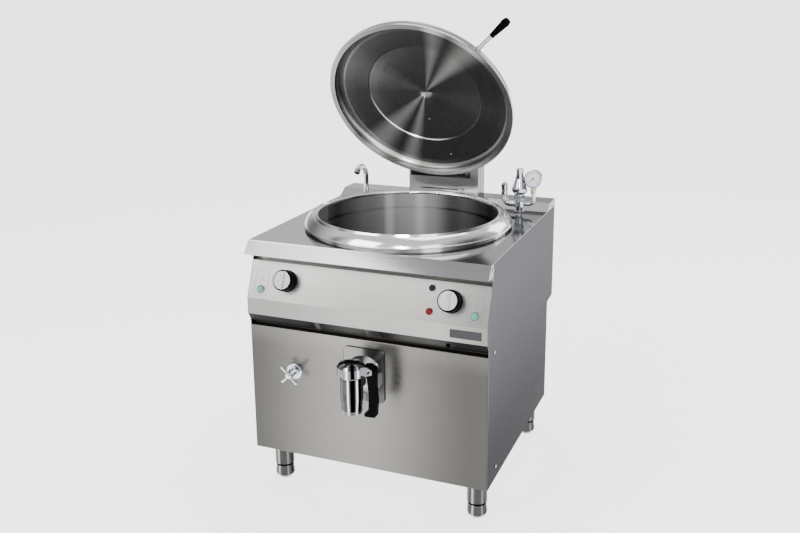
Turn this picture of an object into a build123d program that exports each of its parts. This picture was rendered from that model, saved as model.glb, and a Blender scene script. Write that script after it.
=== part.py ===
from build123d import *
from math import cos, radians, sin
import os

# Indirectly heated boiling pan with a round, steam-jacketed vessel, on a cabinet with four feet.
# Millimetres. Origin on the floor, at the middle of the pan's outline seen from above.
# X to the operator's right, Y to the back, Z up. The lid is modelled in its open position.

# ---- driving dimensions -------------------------------------------------------------------
WIDTH = 800.0
DECK_Z = 850.0
FRONT_Y = -335.0  # outer face of the front panel
BACK_Y = FRONT_Y + 806.0  # back of the upper body
LOWER_BACK_Y = FRONT_Y + 733.0  # back of the set-back lower body
STEP_Z = 506.0
BODY_Z = 138.0  # underside of the cabinet
SHEET = 1.5
DECK_T = 2.0
HALF = WIDTH / 2
INSIDE = HALF - SHEET - 0.5  # half width between the side panels

# worktop
APRON_Z = 810.0
APRON_Y = FRONT_Y - 19.0
DECK_FRONT_Y = FRONT_Y + 12.0
SLOPE_Y = FRONT_Y + 684.0
UPSTAND_Y = FRONT_Y + 724.0
UPSTAND_Z = 874.0
SKIRT_Z = 800.0

# front of the cabinet
FRONT_TOP_Z = 571.0
LIP_Y = FRONT_Y - 13.0
LIP_Z = 612.0
RETURN_Y = FRONT_Y + 4.0
RETURN_Z = 584.0
FOLD_Z = 665.0
FASCIA_Y = FRONT_Y + 33.0
FASCIA_Z = 779.0
SHADOW_Y = FRONT_Y + 62.0
RECESS_Y = FRONT_Y + 20.0

# vessel and its ring
KETTLE_Y = FRONT_Y + 375.0
PAN_R = 300.0
PAN_T = 2.5
RIM_Z = 893.0
PAN_FLOOR_Z = 490.0
PAN_CORNER_R = 45.0
RING_R = 348.0
RING_Z = 858.0
COLLAR_R = 336.0
GUTTER_R = PAN_R + 10.0
GUTTER_Z = RIM_Z - 7.0
DECK_HOLE_R = 332.0
JACKET_R = 325.0
JACKET_T = 2.0
JACKET_TOP_Z = 766.0
JACKET_FLOOR_Z = 380.0
INSULATION_R = 346.0

# lid, in its own frame: radius from its axis, height above its rim plane
LID_R = 322.0
LID_LIP_R = 305.0
LID_SKIRT_R = 316.0
LID_SKIRT_H = 31.0
LID_CROWN_H = 88.0
LID_T = 1.5
DISH_EDGE_R = 278.0
DISH_EDGE_H = 30.0
EMBOSS_R = 198.0
EMBOSS_H = 54.0
DISH_CENTRE_H = 70.0
HINGE_Y = FRONT_Y + 737.0
HINGE_Z = 966.0
LID_OPEN = 58.0  # degrees from closed
LID_CLOSED_Z = 895.0  # height of the rim plane when the lid is down

# hinge housing
HOUSING_X = 134.0
HOUSING_FRONT_Y = HINGE_Y - 10.0
HOUSING_BACK_Y = BACK_Y - 3.0
HOUSING_TOP_Z = 1010.0
HOUSING_SILL_Z = 940.0
SHAFT_R = 8.0
BLOCK_X = 93.0
ARM_X = 52.0

# drain tap
TAP_Z = 458.0
TAP_Y = FRONT_Y - 93.0
BARREL_R = 35.0
PIPE_R = 24.15
PIPE_BORE_R = 22.0
DRAIN_Y = KETTLE_Y - 240.0
LEVER_X = 66.0
LEVER_Z = 520.0

# level tap
LEVEL_X = -244.0
LEVEL_Z = 432.0

# fittings on the deck
SPOUT_X = -275.0
SPOUT_Y = FRONT_Y + 648.0
SPOUT_R = 10.0
SPOUT_BEND_R = 45.0
SPOUT_TOP_Z = 939.0
SAFETY_X = 308.0
SAFETY_Y = FRONT_Y + 656.0
MANIFOLD_Z = 879.0
VACUUM_X = SAFETY_X - 54.0
GAUGE_X = SAFETY_X + 49.0
GAUGE_Z = 973.0
GAUGE_R = 31.5

# controls, placed on the sloping fascia: x, and height along the slope from its middle
KNOB_H = 5.0
LEFT_KNOB_X = -266.0
RIGHT_KNOB_X = 280.0
BUTTON_X = 355.0
BUTTON_H = -30.0
LAMP_X = 216.0
LAMP_HIGH = 38.0
LAMP_LOW = -32.0

# feet
FOOT_X = 343.0
FOOT_FRONT_Y = FRONT_Y + 84.0
FOOT_BACK_Y = FRONT_Y + 688.0
SLEEVE_R = 32.5
SLEEVE_BORE_R = 29.0
SLEEVE_Z = 52.0
RUNNING = 0.05  # radial clearance of a turning or sliding fit

PARTS = "parts"
os.makedirs(PARTS, exist_ok=True)


def save(shape, name):
    """Labels a finished piece and writes its STEP file."""
    shape.label = name
    export_step(shape, os.path.join(PARTS, name + ".step"))


def at_y(y):
    """A sketch plane facing the front, at depth y: x is X, y is Z, extrusions run to the front."""
    return Plane.XZ.offset(-y)


def turned(y, z, degrees):
    """The point (y, z) turned about the hinge axis."""
    a = radians(degrees)
    dy, dz = y - HINGE_Y, z - HINGE_Z
    return HINGE_Y + dy * cos(a) - dz * sin(a), HINGE_Z + dy * sin(a) + dz * cos(a)


# ---- working planes -----------------------------------------------------------------------
slope_y, slope_z = FASCIA_Y - LIP_Y, FASCIA_Z - FOLD_Z
slope_length = (slope_y**2 + slope_z**2) ** 0.5
FASCIA = Plane(
    origin=(0, (FASCIA_Y + LIP_Y) / 2, (FASCIA_Z + FOLD_Z) / 2),
    x_dir=(1, 0, 0),
    z_dir=(0, -slope_z / slope_length, slope_y / slope_length),
)
return_y, return_z = RETURN_Y - LIP_Y, LIP_Z - RETURN_Z
return_length = (return_y**2 + return_z**2) ** 0.5
RETURN = Plane(
    origin=(0, (RETURN_Y + LIP_Y) / 2, (RETURN_Z + LIP_Z) / 2),
    x_dir=(1, 0, 0),
    z_dir=(0, -return_z / return_length, -return_y / return_length),
)
lid_y, lid_z = turned(KETTLE_Y, LID_CLOSED_Z, -LID_OPEN)
LID_UP = (0, sin(radians(LID_OPEN)), cos(radians(LID_OPEN)))
LID_FRONT = (0, -cos(radians(LID_OPEN)), sin(radians(LID_OPEN)))
LID_SECTION = Plane(origin=(0, lid_y, lid_z), x_dir=(1, 0, 0), z_dir=LID_FRONT)
LID_FLAT = Plane(origin=(0, lid_y, lid_z), x_dir=(1, 0, 0), z_dir=LID_UP)
LID_SIDE = Plane(origin=(0, lid_y, lid_z), x_dir=LID_FRONT, z_dir=(-1, 0, 0))
LID_AXIS = Axis((0, lid_y, lid_z), LID_UP)
KETTLE_SECTION = Plane(origin=(0, KETTLE_Y, 0), x_dir=(1, 0, 0), z_dir=(0, -1, 0))
KETTLE_AXIS = Axis((0, KETTLE_Y, 0), (0, 0, 1))


def folded(points, thickness, side):
    """The section of a sheet folded along an open line of points."""
    with BuildSketch() as section:
        with BuildLine():
            Polyline(*points)
            offset(amount=thickness, side=side)
        make_face()
    return section.sketch_local


# ---- worktop: pressed deck with front apron, rear upstand and a round opening --------------
upstand_section = [
    (SLOPE_Y, DECK_Z - DECK_T),
    (SLOPE_Y, DECK_Z),
    (UPSTAND_Y, UPSTAND_Z),
    (BACK_Y, UPSTAND_Z),
    (BACK_Y, DECK_Z - DECK_T),
]
apron_section = [(APRON_Y, APRON_Z), (DECK_FRONT_Y, DECK_Z), (FASCIA_Y, DECK_Z), (FASCIA_Y, APRON_Z)]
NOTCH_R = RING_R + 6.0

with BuildPart() as notch_wall:
    with BuildSketch(Plane.XY.offset(DECK_Z - DECK_T)):
        with Locations((0, KETTLE_Y)):
            Circle(NOTCH_R + DECK_T)
            Circle(NOTCH_R, mode=Mode.SUBTRACT)
    extrude(amount=UPSTAND_Z - DECK_Z + DECK_T)
    with BuildSketch(Plane.YZ.offset(-HALF)):
        with BuildLine():
            Polyline(*upstand_section, close=True)
        make_face()
    extrude(amount=WIDTH, mode=Mode.INTERSECT)

with BuildPart() as worktop:
    with BuildSketch(Plane.YZ.offset(-HALF)):
        section = folded(
            [
                (FRONT_Y, APRON_Z),
                (APRON_Y, APRON_Z),
                (DECK_FRONT_Y, DECK_Z),
                (SLOPE_Y, DECK_Z),
                (UPSTAND_Y, UPSTAND_Z),
                (BACK_Y, UPSTAND_Z),
                (BACK_Y, SKIRT_Z),
            ],
            DECK_T,
            Side.RIGHT,
        )
        add(section)
    extrude(amount=WIDTH)
    for x in (-HALF, HALF - DECK_T):
        for section in (upstand_section, apron_section):
            with BuildSketch(Plane.YZ.offset(x)):
                with BuildLine():
                    Polyline(*section, close=True)
                make_face()
            extrude(amount=DECK_T)
    with BuildSketch(Plane.XY.offset(DECK_Z - DECK_T)):
        with Locations((0, KETTLE_Y)):
            Circle(DECK_HOLE_R)
    extrude(amount=2 * DECK_T, mode=Mode.SUBTRACT)
    with BuildSketch(Plane.XY.offset(DECK_Z)):
        with Locations((0, KETTLE_Y)):
            Circle(NOTCH_R)
    extrude(amount=UPSTAND_Z - DECK_Z + 1, mode=Mode.SUBTRACT)
    add(notch_wall.part)
    with BuildSketch(Plane.XY.offset(DECK_Z - DECK_T)):
        with Locations((0, KETTLE_Y)):
            Circle(NOTCH_R + DECK_T)
            Circle(DECK_HOLE_R, mode=Mode.SUBTRACT)
    extrude(amount=DECK_T)
    with BuildSketch(Plane.XY.offset(DECK_Z - DECK_T)):
        with Locations((SAFETY_X, SAFETY_Y)):
            Circle(12)
        with Locations((SPOUT_X, SPOUT_Y)):
            Circle(14)
    extrude(amount=2 * DECK_T, mode=Mode.SUBTRACT)
save(worktop.part, "worktop")

# ---- side panels, whose front edge follows the fascia --------------------------------------
side_outline = [
    (FRONT_Y + 1, BODY_Z),
    (FRONT_Y + 1, RETURN_Z + 5),
    (LIP_Y, LIP_Z),
    (LIP_Y, FOLD_Z),
    (FASCIA_Y, FASCIA_Z),
    (FASCIA_Y + 1, DECK_Z - DECK_T),
    (BACK_Y - DECK_T, DECK_Z - DECK_T),
    (BACK_Y - DECK_T, SKIRT_Z),
    (BACK_Y, SKIRT_Z),
    (BACK_Y, STEP_Z + 4),
    (LOWER_BACK_Y, STEP_Z - 3),
    (LOWER_BACK_Y, BODY_Z),
]
with BuildPart() as right_side_panel:
    with BuildSketch(Plane.YZ.offset(HALF - SHEET)):
        with BuildLine():
            Polyline(*side_outline, close=True)
        make_face()
    extrude(amount=SHEET)
save(right_side_panel.part, "right_side_panel")

with BuildPart() as left_side_panel:
    mirror(right_side_panel.part, about=Plane.YZ)
save(left_side_panel.part, "left_side_panel")

# ---- front panel: a shallow tray with folded edges -----------------------------------------
with BuildPart() as front_panel:
    with BuildSketch(at_y(FRONT_Y + 16)):
        with Locations((0, (BODY_Z + FRONT_TOP_Z) / 2)):
            Rectangle(2 * INSIDE, FRONT_TOP_Z - BODY_Z)
    extrude(amount=16)
    fillet(front_panel.edges().group_by(Axis.Y)[0], radius=2)
    offset(amount=-SHEET, openings=front_panel.faces().sort_by(Axis.Y)[-1])
    with BuildSketch(at_y(FRONT_Y + 8)):
        with Locations((0, TAP_Z)):
            Circle(PIPE_R + 1)
        with Locations((LEVEL_X, LEVEL_Z)):
            Circle(12)
    extrude(amount=10, mode=Mode.SUBTRACT)
save(front_panel.part, "front_panel")

# ---- recess between the front panel and the fascia ------------------------------------------
with BuildPart() as recess_channel:
    with BuildSketch(Plane.YZ.offset(-INSIDE)):
        section = folded(
            [
                (FRONT_Y + 26, FRONT_TOP_Z - 8),
                (RECESS_Y, FRONT_TOP_Z - 8),
                (RECESS_Y, LIP_Z + 10),
                (FRONT_Y + 26, LIP_Z + 10),
            ],
            SHEET,
            Side.RIGHT,
        )
        add(section)
    extrude(amount=2 * INSIDE)
save(recess_channel.part, "recess_channel")

# ---- control panel: inclined return, lip, sloping fascia and top return ----------------------
PLUG_X = 274.0
PLUG_H = -8.0
PLUG_R = 6.5
PLUG_HOLE_R = 5.0
with BuildPart() as control_panel:
    with BuildSketch(Plane.YZ.offset(-INSIDE)):
        section = folded(
            [
                (RETURN_Y + 12, RETURN_Z),
                (RETURN_Y, RETURN_Z),
                (LIP_Y, LIP_Z),
                (LIP_Y, FOLD_Z),
                (FASCIA_Y, FASCIA_Z),
                (SHADOW_Y, FASCIA_Z),
                (SHADOW_Y, DECK_Z - DECK_T),
            ],
            SHEET,
            Side.RIGHT,
        )
        add(section)
    extrude(amount=2 * INSIDE)
    with BuildSketch(FASCIA.offset(-5)):
        with Locations((LEFT_KNOB_X, KNOB_H), (RIGHT_KNOB_X, KNOB_H)):
            Circle(6)
        with Locations((-BUTTON_X, BUTTON_H), (BUTTON_X, BUTTON_H)):
            Circle(12)
        with Locations((LAMP_X, LAMP_HIGH), (LAMP_X, LAMP_LOW)):
            Circle(11)
    extrude(amount=10, mode=Mode.SUBTRACT)
    with BuildSketch(RETURN.offset(5)):
        with Locations((PLUG_X, PLUG_H)):
            Circle(PLUG_HOLE_R)
    extrude(amount=-10, mode=Mode.SUBTRACT)
save(control_panel.part, "control_panel")

with BuildPart() as blank_plate:
    with BuildSketch(at_y(LIP_Y)):
        with Locations((332, 638)):
            RectangleRounded(98, 26, 2)
    extrude(amount=1)
save(blank_plate.part, "blank_plate")

# ---- back panel, folded round the step at the back -------------------------------------------
INLET_X = (-300.0, -240.0)
INLET_Z = 300.0
GLAND_X = 300.0
GLAND_Z = 250.0
with BuildPart() as back_panel:
    with BuildSketch(Plane.YZ.offset(-INSIDE)):
        section = folded(
            [
                (LOWER_BACK_Y - 1, BODY_Z + 4),
                (LOWER_BACK_Y - 1, STEP_Z - 4),
                (BACK_Y - 2.2, STEP_Z + 3),
                (BACK_Y - 2.2, SKIRT_Z + 12),
            ],
            SHEET,
            Side.LEFT,
        )
        add(section)
    extrude(amount=2 * INSIDE)
    with BuildSketch(at_y(LOWER_BACK_Y + 4)):
        with Locations(*[(x, INLET_Z) for x in INLET_X]):
            Circle(10.5)
        with Locations((GLAND_X, GLAND_Z)):
            Circle(10)
    extrude(amount=10, mode=Mode.SUBTRACT)
save(back_panel.part, "back_panel")

with BuildPart() as water_inlets:
    for x in INLET_X:
        with BuildSketch(at_y(LOWER_BACK_Y - 30)):
            with Locations((x, INLET_Z)):
                Circle(10.4)
                Circle(7, mode=Mode.SUBTRACT)
        extrude(amount=-65)
        with BuildSketch(at_y(LOWER_BACK_Y - 1)):
            with Locations((x, INLET_Z)):
                RegularPolygon(16, 6)
                Circle(10.4, mode=Mode.SUBTRACT)
        extrude(amount=-8)
save(water_inlets.part, "water_inlets")

with BuildPart() as cable_gland:
    with BuildSketch(at_y(LOWER_BACK_Y - 15)):
        with Locations((GLAND_X, GLAND_Z)):
            Circle(10)
    extrude(amount=-30)
    with BuildSketch(at_y(LOWER_BACK_Y - 1)):
        with Locations((GLAND_X, GLAND_Z)):
            RegularPolygon(18, 6)
    extrude(amount=-7)
    with BuildSketch(at_y(LOWER_BACK_Y + 6)):
        with Locations((GLAND_X, GLAND_Z)):
            Circle(14)
    extrude(amount=-18)
    fillet(cable_gland.edges().group_by(Axis.Y)[-1], radius=4)
    with BuildSketch(at_y(LOWER_BACK_Y - 20)):
        with Locations((GLAND_X, GLAND_Z)):
            Circle(6.5)
    extrude(amount=-60, mode=Mode.SUBTRACT)
save(cable_gland.part, "cable_gland")

# ---- base frame: bottom ring, corner posts, top rails, foot plates and sleeves ----------------
TUBE = 30.0
FRAME_X = INSIDE - 1.0
FRAME_FRONT = FRONT_Y + 18.0
FRAME_BACK = LOWER_BACK_Y - 4.0
FRAME_Z = BODY_Z + 4.0
POST_TOP = 760.0
POST_FRONT = FRONT_Y + 50.0
feet_places = [(x, y) for x in (-FOOT_X, FOOT_X) for y in (FOOT_FRONT_Y, FOOT_BACK_Y)]
frame_middle = (FRAME_FRONT + FRAME_BACK) / 2
frame_depth = FRAME_BACK - FRAME_FRONT
post_places = [(x * (FRAME_X - 12), y) for x in (-1, 1) for y in (POST_FRONT + 12, FRAME_BACK - 12)]
with BuildPart() as base_frame:
    with BuildSketch(Plane.XY.offset(FRAME_Z)):
        with Locations((0, frame_middle)):
            Rectangle(2 * FRAME_X, frame_depth)
            Rectangle(2 * (FRAME_X - 24), frame_depth - 48, mode=Mode.SUBTRACT)
    extrude(amount=TUBE)
    with BuildSketch(Plane.XY.offset(FRAME_Z)):
        with Locations(*post_places):
            Rectangle(24, 24)
    extrude(amount=POST_TOP - FRAME_Z)
    with BuildSketch(Plane.XY.offset(POST_TOP - TUBE)):
        for x in (-1, 1):
            with Locations((x * (FRAME_X - 12), (POST_FRONT + FRAME_BACK) / 2)):
                Rectangle(24, FRAME_BACK - POST_FRONT)
        with Locations((0, FRAME_BACK - 6)):
            Rectangle(2 * FRAME_X, 12)
    extrude(amount=TUBE)
    with BuildSketch(Plane.XY.offset(BODY_Z)):
        for x, y in feet_places:
            with Locations((x, y)):
                Rectangle(100, 110)
        with Locations((0, frame_middle)):
            Rectangle(2 * FRAME_X, frame_depth, mode=Mode.INTERSECT)
    extrude(amount=FRAME_Z - BODY_Z)
    with BuildSketch(Plane.XY.offset(SLEEVE_Z)):
        with Locations(*feet_places):
            Circle(SLEEVE_R)
    extrude(amount=BODY_Z - SLEEVE_Z)
    sleeve_ends = base_frame.edges().filter_by(GeomType.CIRCLE).group_by(Axis.Z)[0]
    chamfer(sleeve_ends, length=2)
    with BuildSketch(Plane.XY.offset(SLEEVE_Z)):
        with Locations(*feet_places):
            Circle(SLEEVE_BORE_R)
    extrude(amount=BODY_Z - SLEEVE_Z, mode=Mode.SUBTRACT)
save(base_frame.part, "base_frame")

with BuildPart() as bottom_tray:
    with BuildSketch(Plane.XY.offset(FRAME_Z + TUBE)):
        with Locations((0, frame_middle)):
            Rectangle(2 * FRAME_X - 2, frame_depth - 2)
        with Locations(*post_places):
            Rectangle(25, 25, mode=Mode.SUBTRACT)
        with Locations((0, frame_middle)):
            with GridLocations(60, 40, 5, 4):
                SlotOverall(40, 8, mode=Mode.SUBTRACT)
    extrude(amount=SHEET)
save(bottom_tray.part, "bottom_tray")

# ---- four screw feet with a hexagonal, flared lower end ---------------------------------------
HEX_TOP_Z = 46.0
STEM_Z = 60.0
FOOT_NAMES = ("foot_front_left", "foot_back_left", "foot_front_right", "foot_back_right")
for foot_name, (foot_x, foot_y) in zip(FOOT_NAMES, feet_places):
    with BuildPart() as foot:
        with BuildSketch(Plane(origin=(foot_x, foot_y, 0), x_dir=(1, 0, 0), z_dir=(0, -1, 0))):
            with BuildLine():
                Polyline((0, 0), (20, 0), (31.5, 12), (33, 18), (29.5, HEX_TOP_Z), (0, HEX_TOP_Z), close=True)
            make_face()
        revolve(axis=Axis((foot_x, foot_y, 0), (0, 0, 1)))
        with BuildSketch(Plane.XY):
            with Locations((foot_x, foot_y)):
                RegularPolygon(36, 6)
        extrude(amount=HEX_TOP_Z, mode=Mode.INTERSECT)
        with BuildSketch(Plane.XY.offset(HEX_TOP_Z)):
            with Locations((foot_x, foot_y)):
                Circle(20)
        extrude(amount=STEM_Z - HEX_TOP_Z)
        with BuildSketch(Plane.XY.offset(STEM_Z)):
            with Locations((foot_x, foot_y)):
                Circle(SLEEVE_BORE_R - RUNNING)
        extrude(amount=45)
    save(foot.part, foot_name)

# ---- vessel: the inner pan ---------------------------------------------------------------------
with BuildPart() as vessel:
    with BuildSketch(KETTLE_SECTION):
        with BuildLine() as pan_wall:
            Line((0, PAN_FLOOR_Z), (PAN_R - PAN_CORNER_R, PAN_FLOOR_Z))
            RadiusArc(
                (PAN_R - PAN_CORNER_R, PAN_FLOOR_Z), (PAN_R, PAN_FLOOR_Z + PAN_CORNER_R), -PAN_CORNER_R
            )
            Line((PAN_R, PAN_FLOOR_Z + PAN_CORNER_R), (PAN_R, RIM_Z - 9))
            offset(amount=PAN_T, side=Side.RIGHT)
        make_face()
    revolve(axis=KETTLE_AXIS)
    with BuildSketch(Plane.XY.offset(PAN_FLOOR_Z - 5)):
        with Locations((0, DRAIN_Y)):
            Circle(PIPE_BORE_R)
    extrude(amount=10, mode=Mode.SUBTRACT)
save(vessel.part, "vessel")

# ---- rim ring: inner bead, gutter, falling band and folded edge ----------------------------
with BuildPart() as rim_ring:
    with BuildSketch(KETTLE_SECTION):
        with BuildLine():
            Line((PAN_R, RIM_Z - 9), (PAN_R, RIM_Z - 4))
            ThreePointArc((PAN_R, RIM_Z - 4), (PAN_R + 1.2, RIM_Z - 1.2), (PAN_R + 4, RIM_Z))
            Polyline((PAN_R + 4, RIM_Z), (PAN_R + 7, RIM_Z), (GUTTER_R, GUTTER_Z), (GUTTER_R + 9, GUTTER_Z))
            Polyline((GUTTER_R + 9, GUTTER_Z), (GUTTER_R + 11.5, RIM_Z - 2.5), (PAN_R + 25, RIM_Z - 2.5))
            ThreePointArc(
                (PAN_R + 25, RIM_Z - 2.5), (PAN_R + 37.7, RIM_Z - 14.7), (RING_R - 1.5, RING_Z + 5)
            )
            ThreePointArc((RING_R - 1.5, RING_Z + 5), (RING_R, RING_Z + 2), (RING_R - 2, RING_Z))
            Polyline((RING_R - 2, RING_Z), (COLLAR_R + 5, RING_Z), (COLLAR_R + 5, RING_Z + 5))
            Polyline((COLLAR_R + 5, RING_Z + 5), (RING_R - 6, RING_Z + 5), (PAN_R + 33, RIM_Z - 16))
            Polyline((PAN_R + 33, RIM_Z - 16), (PAN_R + 25, RIM_Z - 10.5), (PAN_R + PAN_T, RIM_Z - 10.5))
            Polyline((PAN_R + PAN_T, RIM_Z - 10.5), (PAN_R + PAN_T, RIM_Z - 9), (PAN_R, RIM_Z - 9))
        make_face()
        with BuildLine():
            Polyline(
                (COLLAR_R - 3, DECK_Z),
                (COLLAR_R + 1, DECK_Z),
                (COLLAR_R + 1, RING_Z + 2),
                (COLLAR_R + 6, RING_Z + 2),
                (COLLAR_R + 6, RING_Z + 4),
                (COLLAR_R - 3, RIM_Z - 14),
                close=True,
            )
        make_face()
    revolve(axis=KETTLE_AXIS)
save(rim_ring.part, "rim_ring")

safety_reach = (SAFETY_X**2 + (SAFETY_Y - KETTLE_Y) ** 2) ** 0.5
STEAM_Z = JACKET_TOP_Z - 40.0
STEAM_WAY = Plane(
    origin=(0, KETTLE_Y, STEAM_Z),
    z_dir=(SAFETY_X / safety_reach, (SAFETY_Y - KETTLE_Y) / safety_reach, 0),
)

# ---- steam jacket round the vessel, with its lugs on the frame ------------------------------------
with BuildPart() as steam_jacket:
    with BuildSketch(KETTLE_SECTION):
        with BuildLine():
            Polyline(
                (PAN_R + PAN_T, JACKET_TOP_Z),
                (JACKET_R - 12, JACKET_TOP_Z),
                (JACKET_R, JACKET_TOP_Z - 12),
                (JACKET_R, JACKET_FLOOR_Z + 30),
                (JACKET_R - 30, JACKET_FLOOR_Z),
                (0, JACKET_FLOOR_Z),
            )
            offset(amount=JACKET_T, side=Side.RIGHT)
        make_face()
    revolve(axis=KETTLE_AXIS)
    for x in (-1, 1):
        with BuildSketch(Plane.XY.offset(POST_TOP - TUBE - 8)):
            with Locations((x * (JACKET_R + 16), KETTLE_Y)):
                Rectangle(40, 60)
            with Locations((0, KETTLE_Y)):
                Circle(JACKET_R - 1, mode=Mode.SUBTRACT)
        extrude(amount=8)
    with BuildSketch(at_y(DRAIN_Y)):
        with Locations((0, TAP_Z)):
            Circle(PIPE_R)
    extrude(amount=150, mode=Mode.SUBTRACT)
    with BuildSketch(at_y(KETTLE_Y - 150)):
        with Locations((LEVEL_X, LEVEL_Z)):
            Circle(8)
    extrude(amount=150, mode=Mode.SUBTRACT)
    with BuildSketch(Plane.XY.offset(JACKET_FLOOR_Z - 5)):
        with Locations((0, KETTLE_Y + 190)):
            RectangleRounded(180, 24, 8)
    extrude(amount=10, mode=Mode.SUBTRACT)
    with BuildSketch(STEAM_WAY.offset(JACKET_R - 20)):
        Circle(8)
    extrude(amount=60, mode=Mode.SUBTRACT)
save(steam_jacket.part, "steam_jacket")

with BuildPart() as insulation:
    with BuildSketch(Plane.XY.offset(JACKET_FLOOR_Z + 40)):
        with Locations((0, KETTLE_Y)):
            Circle(INSULATION_R)
            Circle(JACKET_R + 0.5, mode=Mode.SUBTRACT)
    extrude(amount=POST_TOP - TUBE - 14 - JACKET_FLOOR_Z - 40)
    with BuildSketch(at_y(DRAIN_Y)):
        with Locations((0, TAP_Z)):
            Circle(PIPE_R + 2)
    extrude(amount=150, mode=Mode.SUBTRACT)
    with BuildSketch(at_y(KETTLE_Y - 150)):
        with Locations((LEVEL_X, LEVEL_Z)):
            Circle(10)
    extrude(amount=180, mode=Mode.SUBTRACT)
save(insulation.part, "insulation")

# ---- heating elements: three hairpins in the water at the bottom of the jacket -----------------------
ELEMENT_R = 4.25
ELEMENT_Z = JACKET_FLOOR_Z + 28
with BuildPart() as heating_elements:
    for row in (-1, 0, 1):
        x = row * 60.0
        with BuildLine() as hairpin:
            FilletPolyline(
                (x - 18, KETTLE_Y + 190, JACKET_FLOOR_Z - 30),
                (x - 18, KETTLE_Y + 190, ELEMENT_Z),
                (x - 18, KETTLE_Y - 150, ELEMENT_Z),
                (x + 18, KETTLE_Y - 150, ELEMENT_Z),
                (x + 18, KETTLE_Y + 190, ELEMENT_Z),
                (x + 18, KETTLE_Y + 190, JACKET_FLOOR_Z - 30),
                radius=16,
            )
        with BuildSketch(Plane(origin=(x - 18, KETTLE_Y + 190, JACKET_FLOOR_Z - 30), z_dir=(0, 0, 1))):
            Circle(ELEMENT_R)
        sweep(path=hairpin.line)
    with BuildSketch(Plane.XY.offset(JACKET_FLOOR_Z - 10)):
        with Locations((0, KETTLE_Y + 190)):
            RectangleRounded(210, 60, 12)
    extrude(amount=8)
save(heating_elements.part, "heating_elements")

# ---- jacket pipes: level pipe to the level tap and steam pipe to the safety group ---------------------
level_pipe_end = KETTLE_Y - (JACKET_R**2 - LEVEL_X**2) ** 0.5
with BuildPart() as jacket_pipes:
    with BuildSketch(at_y(level_pipe_end + 12)):
        with Locations((LEVEL_X, LEVEL_Z)):
            Circle(8)
            Circle(6, mode=Mode.SUBTRACT)
    extrude(amount=level_pipe_end + 12 - FRONT_Y - 3)
    with BuildLine() as steam_route:
        FilletPolyline(
            (SAFETY_X, SAFETY_Y, DECK_Z - DECK_T - 1),
            (SAFETY_X, SAFETY_Y, STEAM_Z),
            (SAFETY_X * 0.76, KETTLE_Y + (SAFETY_Y - KETTLE_Y) * 0.76, STEAM_Z),
            radius=30,
        )
    with BuildSketch(Plane(origin=(SAFETY_X, SAFETY_Y, DECK_Z - DECK_T - 1), z_dir=(0, 0, -1))):
        Circle(8)
        Circle(6, mode=Mode.SUBTRACT)
    sweep(path=steam_route.line)
    with BuildSketch(Plane.XY.offset(DECK_Z - DECK_T - 8)):
        with Locations((SAFETY_X, SAFETY_Y)):
            RegularPolygon(18, 6)
            Circle(8, mode=Mode.SUBTRACT)
    extrude(amount=8)
save(jacket_pipes.part, "jacket_pipes")

# ---- drain pipe from the vessel's floor to the tap -----------------------------------------------------
DRAIN_BEND = PAN_FLOOR_Z - PAN_T - TAP_Z - 1.0
with BuildPart() as drain_pipe:
    with BuildLine() as drain_route:
        FilletPolyline(
            (0, DRAIN_Y, PAN_FLOOR_Z - PAN_T),
            (0, DRAIN_Y, TAP_Z),
            (0, FRONT_Y - 4, TAP_Z),
            radius=DRAIN_BEND,
        )
    with BuildSketch(Plane(origin=(0, DRAIN_Y, PAN_FLOOR_Z - PAN_T), z_dir=(0, 0, -1))):
        Circle(PIPE_R)
        Circle(PIPE_BORE_R, mode=Mode.SUBTRACT)
    sweep(path=drain_route.line)
save(drain_pipe.part, "drain_pipe")

# ---- drain tap -------------------------------------------------------------------------------------------
with BuildPart() as tap_plate:
    with BuildSketch(at_y(FRONT_Y)):
        with Locations((0, TAP_Z)):
            RectangleRounded(140, 176, 18)
            Circle(PIPE_R, mode=Mode.SUBTRACT)
    extrude(amount=4)
    front_edges = tap_plate.faces().sort_by(Axis.Y)[0].outer_wire().edges()
    chamfer(front_edges, length=1.2)
save(tap_plate.part, "tap_plate")

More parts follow.
